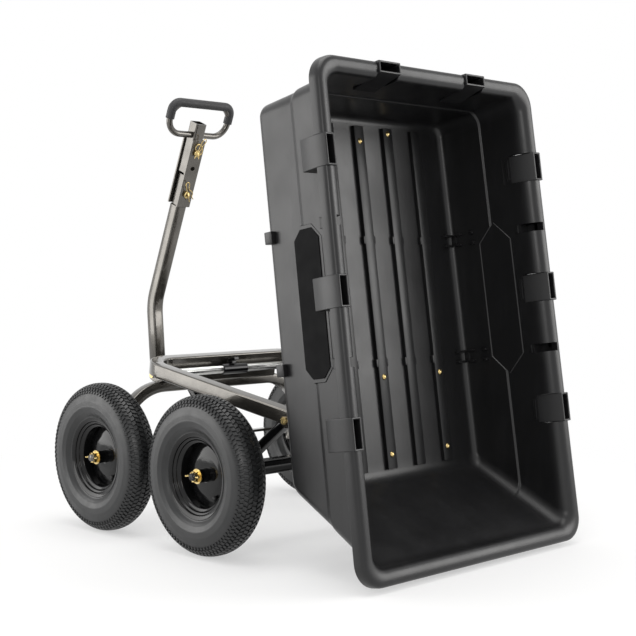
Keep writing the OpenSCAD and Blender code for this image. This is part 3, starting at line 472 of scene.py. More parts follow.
def background_rays(tree: bpy.types.NodeTree) -> bpy.types.NodeSocket:
    """Adds the test for rays that see the white background.

    Args:
        tree: Tree of the floor's material or of the world.

    Returns:
        One for camera, glossy and transmission rays, zero for the rest.
    """
    rays = add_node(tree, "ShaderNodeLightPath").outputs
    mirrored = add_node(tree, "ShaderNodeMath", {
        0: rays["Is Glossy Ray"], 1: rays["Is Transmission Ray"]}, operation="MAXIMUM")
    return add_node(tree, "ShaderNodeMath", {0: rays["Is Camera Ray"], 1: mirrored.outputs[0]},
                    operation="MAXIMUM").outputs[0]


# Finishes


class Grain(Enum):
    """Small relief that a surface's making leaves."""

    PEBBLE = "pebble"
    HAMMER = "hammer"
    PEEL = "peel"
    SPANGLE = "spangle"


@dataclass(frozen=True)
class Finish:
    """A real material and how its surface was made.

    Attributes:
        name: Common name of the material.
        slot: Slot of the record that it stands for.
        colour: Main colour, sRGB hex.
        mottle: Colour that it drifts to in patches.
        patch_mm: Size of those patches.
        roughness: Lowest and highest roughness.
        metallic: One for bare metal, nearly one for metallic paint.
        coat: Clear gloss on top.
        specular: How strongly it mirrors, a half for most.
        grain: Kind of small relief.
        grain_mm: Size of one grain.
        depth_mm: Height of the grain.
        scuff: Colour of rubbed streaks, where it has them.
        scuff_share: How much of the surface they take.
        scuff_mm: Length and width of a streak.
    """

    name: str
    slot: str
    colour: str
    mottle: str
    patch_mm: float
    roughness: Pair
    metallic: float = 0.0
    coat: float = 0.0
    specular: float = 0.5
    grain: Grain = Grain.PEBBLE
    grain_mm: float = 2.0
    depth_mm: float = 0.1
    scuff: str = ""
    scuff_share: float = 0.0
    scuff_mm: Pair = (220.0, 30.0)

    def material(self) -> bpy.types.Material:
        """Builds the material's nodes on Object coordinates.

        Returns:
            The new material.
        """
        made = bpy.data.materials.new(self.name)
        made.use_nodes = True
        tree = made.node_tree
        surface = tree.nodes["Principled BSDF"].inputs
        place = add_node(tree, "ShaderNodeTexCoord").outputs["Object"]
        gloss = add_node(tree, "ShaderNodeTexNoise", {
            "Vector": place, "Scale": GLOSS_PER_PATCH / (self.patch_mm * MM), "Detail": 3.0})
        rough = add_node(tree, "ShaderNodeMapRange", {
            "Value": gloss.outputs["Fac"], "From Min": GLOSS_RANGE[0], "From Max": GLOSS_RANGE[1],
            "To Min": self.roughness[0], "To Max": self.roughness[1]})
        relief = add_node(tree, "ShaderNodeBump", {
            "Height": self._relief(tree, place), "Strength": 1.0, "Distance": self.depth_mm * MM})
        tree.links.new(self._colour(tree, place), surface["Base Color"])
        tree.links.new(rough.outputs[0], surface["Roughness"])
        tree.links.new(relief.outputs[0], surface["Normal"])
        surface["Metallic"].default_value = self.metallic
        surface["Specular IOR Level"].default_value = self.specular
        surface["Coat Weight"].default_value = self.coat
        surface["Coat Roughness"].default_value = COAT_ROUGHNESS
        return made

    def _colour(self, tree: bpy.types.NodeTree,
                place: bpy.types.NodeSocket) -> bpy.types.NodeSocket:
        """Adds the patches and the rubbed streaks.

        Args:
            tree: Tree of the material.
            place: Object coordinates.

        Returns:
            The colour.
        """
        patches = add_node(tree, "ShaderNodeTexNoise", {
            "Vector": place, "Scale": 1 / (self.patch_mm * MM), "Detail": 4.0, "Roughness": 0.6})
        spread = add_node(tree, "ShaderNodeMapRange", {
            "Value": patches.outputs["Fac"], "From Min": PATCH_RANGE[0],
            "From Max": PATCH_RANGE[1]})
        colour = add_node(tree, "ShaderNodeMix", {
            MIX_FACTOR: spread.outputs[0], MIX_A: linear(self.colour), MIX_B: linear(self.mottle)},
            data_type="RGBA").outputs[MIX_RESULT]
        if not self.scuff:
            return colour
        long, wide = (1 / (size * MM) for size in self.scuff_mm)
        stretch = add_node(tree, "ShaderNodeMapping", {
            "Vector": place, "Scale": (wide, wide, long)})
        streaks = add_node(tree, "ShaderNodeTexNoise", {
            "Vector": stretch.outputs[0], "Scale": 1.0, "Detail": 5.0, "Roughness": 0.7})
        share = add_node(tree, "ShaderNodeMapRange", {
            "Value": streaks.outputs["Fac"], "From Min": STREAK_RANGE[0],
            "From Max": STREAK_RANGE[1], "To Max": self.scuff_share})
        return add_node(tree, "ShaderNodeMix", {
            MIX_FACTOR: share.outputs[0], MIX_A: colour, MIX_B: linear(self.scuff)},
            data_type="RGBA").outputs[MIX_RESULT]

    def _relief(self, tree: bpy.types.NodeTree,
                place: bpy.types.NodeSocket) -> bpy.types.NodeSocket:
        """Adds the texture of the grain.

        Args:
            tree: Tree of the material.
            place: Object coordinates.

        Returns:
            The grain's height.
        """
        sockets = {"Vector": place, "Scale": 1 / (self.grain_mm * MM)}
        if self.grain is Grain.HAMMER:
            return add_node(tree, "ShaderNodeTexVoronoi", {**sockets, "Smoothness": 0.6},
                            feature="SMOOTH_F1").outputs["Distance"]
        if self.grain is Grain.SPANGLE:
            return add_node(tree, "ShaderNodeTexVoronoi", sockets, feature="F1").outputs["Distance"]
        detail = 1.0 if self.grain is Grain.PEEL else 3.0
        return add_node(tree, "ShaderNodeTexNoise", {**sockets, "Detail": detail}).outputs["Fac"]


FINISHES = (
    # Polyethylene moulded in a grained tool: near black, soft sheen, rubbed paler by the loads.
    Finish("moulded polyethylene", "tub_plastic", "#171718", "#131314", 240, (0.3, 0.39),
           specular=0.42, grain_mm=2.4, depth_mm=0.10, scuff="#29292b", scuff_share=0.4),
    # Plain moulded plate: flat black with a fine grain and hardly any shine.
    Finish("black ABS plate", "plate_plastic", "#0d0d0e", "#0a0a0b", 90, (0.6, 0.7),
           specular=0.08, grain_mm=1.6, depth_mm=0.05),
    # Hammered powder coat over steel tube: warm grey flake with small dimples under a clear gloss.
    # The dimples are drawn coarser than real, to show.
    Finish("hammered powder coat", "hammered_paint", "#625f5a", "#55524d", 60, (0.18, 0.27),
           metallic=0.85, coat=0.6, grain=Grain.HAMMER, grain_mm=3.4, depth_mm=0.03),
    # Gloss stoving enamel on pressed steel: deep black with a little orange peel.
    Finish("black stoving enamel", "black_enamel", "#0d0d0e", "#0a0a0b", 80, (0.07, 0.12),
           specular=0.28, grain=Grain.PEEL, grain_mm=5.0, depth_mm=0.05),
    # Cured natural rubber: dark grey with a dusty bloom.
    Finish("vulcanised tyre rubber", "tyre_rubber", "#1b1c1d", "#161718", 45, (0.32, 0.44),
           grain_mm=1.5, depth_mm=0.08, scuff="#2c2d2e", scuff_share=0.4, scuff_mm=(90.0, 60.0)),
    # Moulded valve stem: the same rubber, duller and finer.
    Finish("valve rubber", "valve_rubber", "#1b1b1c", "#161617", 20, (0.5, 0.6),
           grain_mm=1.0, depth_mm=0.03),
    # Closed-cell foam sleeve: soft grey-black with fine pores.
    Finish("foam rubber grip", "grip_rubber", "#2b2b2d", "#222223", 25, (0.5, 0.62),
           grain_mm=1.1, depth_mm=0.1),
    # Undyed moulded nylon: ivory with a faint sheen.
    Finish("natural nylon", "bush_nylon", "#d6d0c2", "#c8c1b1", 20, (0.4, 0.5),
           grain_mm=2.0, depth_mm=0.03),
    # Yellow chromate over zinc: gold that drifts to straw.
    Finish("yellow zinc plate", "yellow_zinc", "#d9c48c", "#c6ab70", 9, (0.2, 0.3),
           metallic=1.0, grain=Grain.SPANGLE, grain_mm=3.0, depth_mm=0.015),
    # Clear zinc plate: bright and faintly spangled.
    Finish("bright zinc plate", "bright_zinc", "#d9d9d6", "#cacac8", 18, (0.18, 0.26),
           metallic=1.0, grain=Grain.SPANGLE, grain_mm=6.0, depth_mm=0.006))


class Paintbox:
    """Holds one material for each finish and puts pieces into the frame."""

    def __init__(self, frame: dict[str, Any]) -> None:
        """Makes every material once and remembers each node's body and slot.

        Args:
            frame: The loaded frame.
        """
        record = frame["record"]
        self.nodes: dict[str, bpy.types.Object] = frame["nodes"]
        self.joints = {joint["name"]: joint for joint in record["behaviour"]["joints"]}
        self.by_slot = {finish.slot: finish.material() for finish in FINISHES}
        self.body_of = {node: body for body, nodes in record["behaviour"]["bodies"].items()
                        for node in nodes}
        self.slot_of = {part["node"]: part["material_slot"] for part in record["subparts"]}

    def place(self, piece: bpy.types.Object, body: str, slot: str, *nodes: str) -> None:
        """Gives a piece its finish and its body.

        Args:
            piece: The piece.
            body: Body that it rides on.
            slot: Slot of its finish.
            *nodes: CAD nodes that it stands for.
        """
        piece.data.materials.clear()
        piece.data.materials.append(self.by_slot[slot])
        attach(piece, body)
        if nodes:
            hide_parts(*nodes)
        LOG.info("%s rides on %s as %s", piece.name, body, slot)

    def joint(self, name: str) -> Vector:
        """Returns the place of a joint."""
        return Vector(self.joints[name]["pos_m"])


# Sub-assemblies


class SubAssembly(Protocol):
    """A set of pieces that is built as one."""

    def build(self, box: Paintbox) -> None:
        """Makes the pieces and puts each on its body."""


@dataclass
class Station:
    """One corner of the tub's wall section.

    It has a height, insets from the rim's edge, a plan radius and a rounding.
    """

    height: float
    side: float
    front: float
    dump: float
    corner: float
    blend: float

    def row(self) -> Vector:
        """Returns the sizes that are blended along the section."""
        return Vector((self.height, self.side, self.front, self.dump, self.corner))


@dataclass
class Tub:
    """The moulded tub with its ribs, ledge, slots and plate seats.

    Local places are (run from the dump edge, across to the left, height above the rim's crest).
    """

    length: float = 1.214
    front_half: float = 0.399
    rear_half: float = 0.412
    depth: float = 0.285
    wall: float = 0.006
    tip: float = math.radians(81.8)
    pivot_run: float = 0.389
    pivot_drop: float = 0.028
    # Wall section: the rolled rim, the ledge, the walls' draft and the sloping dump wall.
    lip: float = 0.034
    roll: float = 0.047
    ledge: float = 0.142
    ledge_slope: float = 0.0042
    ledge_reach: float = 0.004
    ledge_step: float = 0.012
    ledge_outside: Pair = (0.014, 0.002)  # foot and top of the step, below the ledge
    upper_draft: float = 0.008
    lower_draft: float = 0.009
    dump_top: float = 0.045
    dump_run: float = 0.170
    front_share: float = 0.88
    plan_radius: float = 0.040
    foot_radius: float = 0.034
    cap_radius: float = 0.012
    cap_in: float = 0.04
    corner_steps: int = 12
    curve_steps: int = 5
    # Stake pockets and the notches that they sit in.
    pocket_runs: tuple[float, ...] = (0.348, 0.669, 0.990)
    front_pocket_y: float = 0.160
    pocket_half: float = 0.0375
    pocket_depth: float = 0.090
    pocket_cut: float = 0.064
    pocket_back: float = 0.044
    notch_out: float = 0.002
    notch_in: float = 0.055
    over_rim: float = 0.006
    stop_half: float = 0.027
    stop_drops: Pair = (0.003, 0.009)  # below the pocket's cut
    stop_thick: float = 0.0025
    stop_proud: float = 0.003
    stop_soft: float = 0.0007
    cheek: float = 0.002
    cheek_line: tuple[Pair, ...] = (  # inset and height
        (0.026, -0.0045), (0.040, -0.0155), (0.0465, -0.034), (0.0485, -0.064), (0.041, -0.066),
        (0.0405, -0.036), (0.030, -0.022))
    # Slots and clips of the divider boards.
    divider_runs: tuple[float, ...] = (0.5085, 0.8295)
    divider_half: float = 0.011
    slot_out: float = 0.016
    slot_depth: float = 0.052
    clip_half: float = 0.003
    stud_height: float = -0.2
    bar_height: float = -0.062
    # Floor ribs, with a key at each divider.
    rib_count: int = 5
    rib_pitch: float = 0.110
    rib_half: float = 0.017
    rib_height: float = 0.0095
    rib_root: float = 0.003
    rib_key: Pair = (0.010, 0.0045)  # half its length, and how far it stands out
    key_drop: float = 0.0005
    rib_ends: Pair = (0.235, 1.131)  # runs
    # Side plates, their seats outside and the hexagons inside.
    plate_run: float = 0.655
    plate_in: float = 0.0465
    plate_depth: float = 0.136
    plate_lean: float = math.radians(3.5)
    plate_size: Pair = (0.352, 0.088)  # length and height
    plate_point: float = 0.045
    plate_flat: float = 0.040
    plate_thick: float = 0.002
    plate_root: float = 0.001
    plate_soft: float = 0.0006
    pad_edge: float = 0.009
    pad_back: float = 0.0078
    pad_flare: float = 0.006
    hexagon: Pair = (0.408, 0.097)  # length and height
    hexagon_level: float = 0.0100
    hexagon_bevel: Pair = (0.004, 0.008)  # depth and added size
    hexagon_cut: float = 0.09
    swell_root: Pair = (0.006, 0.007)  # depth and added size
    swell_over: Pair = (0.0002, 0.001)  # depth past the hexagon, and size taken off

    def matrix(self, pivot: Vector) -> Matrix:
        """Returns the place of the tipped tub about its pivot."""
        return (Matrix.Translation(pivot) @ Matrix.Rotation(self.tip, 4, "Y")
                @ Matrix.Rotation(math.pi, 4, "Z")
                @ Matrix.Translation((-self.pivot_run, 0, self.depth + self.pivot_drop)))

    def half_at(self, run: float) -> float:
        """Returns half the rim's width at a run."""
        return self.rear_half + (self.front_half - self.rear_half) * run / self.length

    def wall_in(self, height: float) -> float:
        """Finds the inner wall's inset from the rim's edge.

        Args:
            height: Height above the rim's crest.

        Returns:
            The inset, which steps in at the ledge.
        """
        if height > -self.ledge - self.ledge_reach:
            return self.roll + self.upper_draft * (-height - self.lip) / (self.ledge - self.lip)
        return (self.roll + self.ledge_step
                + self.lower_draft * (-height - self.ledge) / (self.depth - self.ledge))

    def dump_in(self, height: float) -> float:
        """Returns the sloping dump wall's inset at a height."""
        return (self.dump_top
                + self.dump_run * (-height - self.lip) / (self.depth - self.wall - self.lip))

    def _wall(self, height: float, skin: float, corner: float, blend: float,
              extra: float = 0.0) -> Station:
        """Returns a station on the wall; skin is its distance outside the inner face."""
        side, dump = (inset - skin + extra
                      for inset in (self.wall_in(height), self.dump_in(height)))
        return Station(height, side, self.front_share * side, dump, corner, blend)

    def section(self) -> list[Station]:
        """Lists the section's corners from the underside, over the rim, to the floor.

        Returns:
            The corners, in order.
        """
        base, floor = -self.depth, self.wall - self.depth
        plan, foot = self.plan_radius, self.foot_radius
        # Rows of the walls: height, plan radius and rounding.
        outside = ((base, foot, 0.020), (-self.ledge - self.ledge_outside[0], plan, 0.005),
                   (-self.ledge - self.ledge_outside[1], plan, 0.005),
                   (-self.lip - self.wall, plan, 0.006))
        inside = ((-self.lip, plan, 0.014), (-self.ledge, plan, 0.0015),
                  (-self.ledge - self.ledge_slope, plan, 0.0015), (floor, foot, 0.022))
        # Rows of the rolled rim: height, inset on every side, plan radius and rounding.
        rim = ((-0.021, 0.030, 0.048, 0.006), (-self.lip, 0.006, 0.056, 0.002),
               (-self.lip, 0.0, 0.062, 0.002), (-0.012, 0.0, 0.062, 0.010),
               (-0.003, 0.004, 0.058, 0.005), (0.0, 0.015, 0.048, 0.009),
               (-0.004, 0.031, 0.042, 0.010), (-0.015, 0.041, 0.040, 0.010))
        return [self._wall(base, self.wall, self.cap_radius, 0, self.cap_in),
                *(self._wall(height, self.wall, *row) for height, *row in outside),
                *(Station(height, inset, inset, inset, *row) for height, inset, *row in rim),
                *(self._wall(height, 0, *row) for height, *row in inside),
                self._wall(floor, 0, self.cap_radius, 0, self.cap_in)]

    def rings(self) -> list[Vector]:
        """Rounds the section's corners.

        Returns:
            Rows of sizes along the section.
        """
        corners = self.section()
        rows: list[Vector] = []
        for i, station in enumerate(corners):
            here = station.row()
            if not station.blend:
                rows.append(here)
                continue
            back, ahead = corners[i - 1].row(), corners[i + 1].row()
            shares = [min(CURVE_SHARE, station.blend / math.hypot(*(point - here)[:2]))
                      for point in (back, ahead)]
            rows += soft_corner(back, here, ahead, shares, self.curve_steps)
        return rows

    def ring_points(self, row: Vector) -> list[Vector]:
        """Draws the rounded plan of one row of sizes.

        Args:
            row: Height, three insets and the plan radius.

        Returns:
            The points of the plan.
        """
        height, side, front_in, dump, r = row
        mid = (self.front_half + self.rear_half) / 2
        half, front = mid - side, self.length - front_in
        centres = ((front - r, half - r), (dump + r, half - r),
                   (dump + r, r - half), (front - r, r - half))
        points = []
        for corner, (x, y) in enumerate(centres):
            for k in range(self.corner_steps + 1):
                turn = math.pi / 2 * (corner + k / self.corner_steps)
                run = x + r * math.cos(turn)
                across = (y + r * math.sin(turn)) * self.half_at(run) / mid
                points.append(Vector((run, across, height)))
        return points

    def shell(self) -> bpy.types.Object:
        """Lofts the closed shell from its rings.

        Returns:
            The shell, in local places.
        """
        mesh = bmesh.new()
        loft(mesh, [[mesh.verts.new(point) for point in self.ring_points(row)]
                    for row in self.rings()])
        return as_object("tub_shell_moulded", mesh)

    def rim_place(self, run: float, side: int) -> Matrix:
        """Returns the place of the rim's edge on one side, with +y pointing out."""
        turn = Matrix.Rotation(0 if side > 0 else math.pi, 4, "Z")
        return Matrix.Translation((run, side * self.half_at(run), 0)) @ turn

    def rim_places(self, runs: Sequence[float]) -> list[Matrix]:
        """Returns the places of the rim's edge at some runs, on both sides."""
        return [self.rim_place(run, side) for run in runs for side in SIDES]

    def front_places(self) -> list[Matrix]:
        """Returns the places of the front rim's edge at its pockets, with +y pointing out."""
        turn = Matrix.Rotation(-math.pi / 2, 4, "Z")
        return [Matrix.Translation((self.length, side * self.front_pocket_y, 0)) @ turn
                for side in SIDES]

    def plate_place(self, side: int) -> Matrix:
        """Finds the seat of the bare plate on one side.

        Args:
            side: One for the left, minus one for the right.

        Returns:
            The seat's place, with +z pointing out.
        """
        taper = math.atan((self.rear_half - self.front_half) / self.length)
        across = side * (self.half_at(self.plate_run) - self.plate_in)
        return (Matrix.Translation((self.plate_run, across, -self.plate_depth))
                @ Matrix.Rotation(-side * taper, 4, "Z")
                @ Matrix.Rotation(math.pi if side > 0 else 0, 4, "Z")
                @ Matrix.Rotation(math.pi / 2 + self.plate_lean, 4, "X"))

    def lozenges(self, name: str, size: Pair, levels: Sequence[Pair],
                 flat: float = 0.0) -> bpy.types.Object:
        """Makes a long shape on each plate's seat, with pointed or cut-off ends.

        Args:
            name: Name of the pair.
            size: Length and height of each.
            levels: Level of each outline, and what is added to the size there.
            flat: Width of the cut-off ends, or zero for points.

        Returns:
            The pair, in local places.
        """
        mesh = bmesh.new()
        for side in SIDES:
            place, rings = self.plate_place(side), []
            for z, more in levels:
                l, h = size[0] + more, size[1] + more
                point = self.plate_point * h / self.plate_size[1] * (1 - flat / h)
                tips = (-flat / 2, flat / 2) if flat else (0.0,)
                right = [(l / 2, y) for y in tips] + [(l / 2 - point, h / 2)]
                left = [(-l / 2, -y) for y in tips] + [(point - l / 2, -h / 2)]
                outline = [(l / 2 - point, -h / 2), *right, (point - l / 2, h / 2), *left]
                rings.append([mesh.verts.new(place @ Vector((x, y, z))) for x, y in outline])
            loft(mesh, rings)
        return as_object(name, mesh)

    def cut_away(self) -> bpy.types.Object:
        """Makes what is cut from the shell: notches, divider slots and the hexagons inside.

        Returns:
            The cutter, in local places.
        """
        mesh = bmesh.new()
        out, top, inner = self.notch_out, self.over_rim, -self.notch_in
        low, back, shelf = -self.pocket_depth, -self.pocket_back, -self.pocket_cut
        notch = ((out, top), (out, low), (back, low), (back, shelf), (inner, shelf), (inner, top))
        for place in self.rim_places(self.pocket_runs) + self.front_places():
            add_prism(mesh, notch, (-self.pocket_half, self.pocket_half), place)
        for place in self.rim_places(self.divider_runs):
            add_box(mesh, (-self.divider_half, inner, -self.slot_depth),
                    (self.divider_half, -self.slot_out, top), place)
        level, (deep, wide) = -self.hexagon_level, self.hexagon_bevel
        absorb(mesh, self.lozenges("tub_hexagons", self.hexagon, (
            (level, 0.0), (level - deep, wide), (level - self.hexagon_cut, wide))))
        return as_object("tub_cuts", mesh)

    def pads(self) -> bpy.types.Object:
        """Makes the raised seats of the plates, in local places."""
        length, height = (size + 2 * self.pad_edge for size in self.plate_size)
        return self.lozenges("tub_pads", (length, height), (
            (-self.pad_back, self.pad_flare), (-SOFT, 0.0), (0.0, -2 * SOFT)), self.plate_flat)

    def swells(self) -> bpy.types.Object:
        """Makes the hexagons that stand proud of the upper walls inside, in local places."""
        (root, flare), (over, less) = self.swell_root, self.swell_over
        return self.lozenges("tub_swells", self.hexagon, (
            (-root, flare), (-self.hexagon_level - over, -less)))

    def plates(self) -> bpy.types.Object:
        """Makes the bare plates on the long walls, in local places."""
        return self.lozenges("side_plates_bare", self.plate_size, (
            (-self.plate_root, 0.0), (self.plate_thick - self.plate_soft, 0.0),
            (self.plate_thick, -2 * self.plate_soft)), self.plate_flat)

    def divider_forms(self, mesh: bmesh.types.BMesh) -> None:
        """Adds the moulded clips of the divider boards and the boxes under their slots.

        Args:
            mesh: Mesh that grows.
        """
        floor = self.wall - self.depth
        foot, stud, bar = (-self.wall_in(h) for h in (floor, self.stud_height, self.bar_height))
        # Rows: half width, span across, span in height and soft edge. The first three are a
        # floor clip, a wall clip and a stud above it, on each side of the board.
        clip = self.clip_half
        pairs = ((clip, (foot - 0.036, foot - 0.004), (floor - 0.002, floor + 0.012), 0.0012),
                 (clip, (foot - 0.008, foot + 0.004), (floor + 0.018, floor + 0.040), 0.0012),
                 (0.004, (stud - 0.009, stud + 0.003), (-0.212, -0.198), 0.002))
        # Then the foot's bracket and the bar across the slot's foot.
        singles = ((0.015, (foot - 0.004, foot + 0.020), (floor - 0.004, floor + 0.022), 0.002),
                   (0.011, (bar - 0.003, bar + 0.003), (-0.066, -0.058), SOFT))
        for place in self.rim_places(self.divider_runs):
            rows = [(end * (self.divider_half + clip), row)
                    for end in SIDES for row in pairs] + [(0.0, row) for row in singles]
            for middle, (half, across, rise, soft) in rows:
                add_box(mesh, (middle - half, across[0], rise[0]),
                        (middle + half, across[1], rise[1]), place, soft)
            self.slot_liner(mesh, place)

    def slot_liner(self, mesh: bmesh.types.BMesh, place: Matrix) -> None:
        """Adds the moulded box that shuts a divider slot under the rim.

        Args:
            mesh: Mesh that grows.
            place: Place of the rim's edge at the slot.
        """
        half, thick = self.divider_half, self.cheek
        outer = half + thick
        # Rows: span along the rim, span across and span in height of back, foot and two cheeks.
        for run, across, rise in (((-outer, outer), (-0.016, -0.014), (-0.054, -0.020)),
                                  ((-outer, outer), (-0.046, -0.014), (-0.054, -0.052)),
                                  ((-outer, thick - outer), (-0.040, -0.014), (-0.054, -0.018)),
                                  ((half, outer), (-0.040, -0.014), (-0.054, -0.018))):
            add_box(mesh, *zip(run, across, rise), place)

    def pocket_forms(self, mesh: bmesh.types.BMesh) -> None:
        """Adds the stops under the stake pockets and the cheeks beside them.

        Args:
            mesh: Mesh that grows.
        """
        places = [(place, 1.0) for place in self.rim_places(self.pocket_runs)]
        for place, share in places + [(place, self.front_share) for place in self.front_places()]:
            inset = share * self.wall_in(-self.pocket_cut)
            for drop in self.stop_drops:
                low = self.pocket_cut + drop
                add_box(mesh, (-self.stop_half, -inset - self.stop_proud, -low - self.stop_thick),
                        (self.stop_half, -inset + self.stop_proud, -low), place, self.stop_soft)
            line = [(-share * y, z) for y, z in self.cheek_line]
            for edge in (-self.pocket_half - self.cheek, self.pocket_half):
                add_prism(mesh, line, (edge, edge + self.cheek), place)

    def ribs(self, material: bpy.types.Material) -> bpy.types.Object:
        """Makes the floor ribs, one shape repeated across the floor.

        Args:
            material: Finish of the tub.

        Returns:
            The ribs, in local places.
        """
        mesh = bmesh.new()
        floor = self.wall - self.depth
        root, top = floor - self.rib_root, floor + self.rib_height
        add_box(mesh, (self.rib_ends[0], -self.rib_half, root),
                (self.rib_ends[1], self.rib_half, top), soft=SOFT)
        half, out = self.rib_key[0], self.rib_half + self.rib_key[1]
        for run in self.divider_runs:
            add_box(mesh, (run - half, -out, root), (run + half, out, top - self.key_drop),
                    soft=SOFT)
        first = -(self.rib_count - 1) / 2 * self.rib_pitch
        return repeat(as_object("floor_rib", mesh), material, self.rib_count,
                      start=(0, first, 0), step=(0, self.rib_pitch, 0))

    def build(self, box: Paintbox) -> None:
        """Makes the tub and its plates and puts them on their body.

        Args:
            box: Finishes and frame.
        """
        tipped = self.matrix(box.joint("tub_tip"))
        tub, tools = self.shell(), (self.pads(), self.swells(), self.cut_away())
        for tool, operation in zip(tools, ("UNION", "UNION", "DIFFERENCE")):
            modifier = tub.modifiers.new(tool.name, "BOOLEAN")
            modifier.object, modifier.operation, modifier.solver = tool, operation, "EXACT"
        bake(tub)
        for tool in tools:
            bpy.data.objects.remove(tool)
        forms = bmesh.new()
        self.divider_forms(forms)
        self.pocket_forms(forms)
        mesh = bmesh.new()
        mesh.from_mesh(tub.data)
        absorb(mesh, self.ribs(box.by_slot["tub_plastic"]))
        absorb(mesh, as_object("tub_small_forms", forms))
        mesh.transform(tipped)
        mesh.to_mesh(tub.data)
        mesh.free()
        box.place(shade(tub, degrees=28), "tub", "tub_plastic", "tub_shell")
        plates = self.plates()
        plates.data.transform(tipped)
        box.place(shade(plates), "tub", "plate_plastic", "side_plates")


@dataclass
class Lug:
    """One tread block.

    It has a stretch of the section in degrees, a share of the pitch, a slant and how deep it sits.
    """

    turns: Pair
    pitch: Pair
    slant: float
    sunk: float = 0.0
    steps: int = 2


@dataclass
class Wheel:
    """A pneumatic tyre with moulded tread on a pressed steel rim."""

    # Tyre: its section, the sidewall's moulded rings and the tread.
    radius: float = 0.203
    half_width: float = 0.048
    mid_radius: float = 0.152
    power: float = 0.87
    wall: float = 0.008
    bead_turn: float = 50.0
    section_steps: int = 84
    inside_step: int = 4
    turn_steps: int = 120
    side_depth: float = 0.0012
    side_rings: Triple = (88, 104, 119)  # degrees from the crown
    ring_spread: float = 1.6
    ring_height: float = 0.0010
    tread: float = 0.0021
    tread_fade: Pair = (30, 0.55)  # its degrees, and its share at the middle of the side
    pitches: int = 92
    lug_root: Pair = (0.002, 0.06)  # depth below the groove, and growth along the pitch
    lug_soft: Pair = (0.0008, 0.05)  # height of the soft edge, and how far it draws in
    lugs: tuple[Lug, ...] = field(default_factory=lambda: (
        Lug((91, 103), (0.02, 0.70), 0.34), Lug((77, 89), (0.52, 1.20), -0.34),
        Lug((105, 117), (0.50, 1.14), -0.30), Lug((63, 75), (0.00, 0.64), 0.30),
        Lug((119, 131), (0.02, 0.64), 0.26), Lug((49, 61), (0.52, 1.14), -0.26),
        Lug((133, 144), (0.50, 1.08), -0.20), Lug((36, 47), (0.00, 0.58), 0.20),
        Lug((146, 154), (0.04, 0.52), 0.14, 0.0007), Lug((26, 34), (0.54, 1.02), -0.14, 0.0007)))
    # Rim: flange, bead seat, barrel steps, well, dish and hub as (radius, y).
    flange_r: float = 0.111
    rim_half: float = 0.032
    sheet: float = 0.003
    seat_r: float = 0.101
    seat_y: float = 0.0240
    seat_gap: float = 0.0004
    toe_y: float = 0.0234
    barrel: tuple[Pair, ...] = ((0.0945, 0.0222), (0.0935, 0.0172))
    well: Pair = (0.084, 0.0134)
    dish: tuple[Pair, ...] = (
        (0.0165, -0.0040), (0.030, -0.0042), (0.050, -0.0056), (0.066, -0.0092), (0.0825, -0.0134))
    hub: Pair = (0.014, 0.0172)  # inner and outer radius
    hub_y: Pair = (-0.0546, 0.0234)
    rim_soft: Triple = (0.0045, 0.004, 0.0012)  # barrel, disc and hub
    rim_steps: int = 96

    def skin(self, turn: float, lower: float) -> Pair:
        """Finds a point of the tyre's section.

        Args:
            turn: Its turn about the section's middle, in degrees.
            lower: Its distance below the outside.

        Returns:
            The point as (radius, y).
        """
        s, c = math.sin(math.radians(turn)), math.cos(math.radians(turn))
        tall, wide = self.radius - self.mid_radius - lower, self.half_width - lower
        return (self.mid_radius + tall * math.copysign(abs(s) ** self.power, s),
                wide * math.copysign(abs(c) ** self.power, c))

    def groove(self, turn: float) -> float:
        """Finds the depth of the carcass below the tread, with the sidewall's moulded rings.

        Args:
            turn: Turn about the section's middle, in degrees.

        Returns:
            The depth.
        """
        off_crown = abs(turn - 90)
        fade = min(1.0, max(0.0, (90 - off_crown) / self.tread_fade[0] + self.tread_fade[1]))
        rings = sum(math.exp(-((off_crown - at) / self.ring_spread) ** 2) for at in self.side_rings)
        return (self.tread * fade * fade * (3 - 2 * fade) + self.side_depth
                - self.ring_height * min(1.0, rings))

    def carcass(self) -> list[Pair]:
        """Draws the closed section of the tyre without its blocks.

        Returns:
            Its (radius, y) points.
        """
        span = 180 + 2 * self.bead_turn
        turns = [-self.bead_turn + span * i / self.section_steps
                 for i in range(self.section_steps + 1)]
        bead = [(self.seat_r, self.toe_y),
                (self.seat_r, self.rim_half - self.sheet - self.seat_gap),
                (self.flange_r + self.seat_gap, self.rim_half - self.seat_gap)]
        outside = [self.skin(turn, self.groove(turn)) for turn in turns]
        inside = [self.skin(turn, self.wall) for turn in reversed(turns[::self.inside_step])]
        return bead + outside + [(r, -y) for r, y in reversed(bead)] + inside

    def tread_pitch(self) -> bpy.types.Object:
        """Makes the blocks of one pitch of the tread.

        Returns:
            The blocks, about the origin.
        """
        mesh = bmesh.new()
        pitch = math.tau / self.pitches
        (root, flare), (soft, draw) = self.lug_root, self.lug_soft
        for lug in self.lugs:
            levels = []
            for lower, grow in ((self.tread + root, flare), (lug.sunk + soft, 0.0),
                                (lug.sunk, -draw)):
                starts, stops = [], []
                for i in range(lug.steps + 1):
                    t = i / lug.steps
                    r, y = self.skin(lug.turns[0] + (lug.turns[1] - lug.turns[0]) * t, lower)
                    lean = lug.slant * (t - 0.5)
                    for edge, share in ((starts, lug.pitch[0] + lean - grow),
                                        (stops, lug.pitch[1] + lean + grow)):
                        turn = pitch * share
                        edge.append((r * math.sin(turn), y, r * math.cos(turn)))
                levels.append([mesh.verts.new(point) for point in starts + stops[::-1]])
            loft(mesh, levels, shut=False)
            top, count = levels[-1], len(levels[-1])
            for i in range(lug.steps):
                mesh.faces.new((top[i], top[i + 1], top[count - 2 - i], top[count - 1 - i]))
            mesh.faces.new(levels[0])
        return as_object("tread_pitch", mesh)

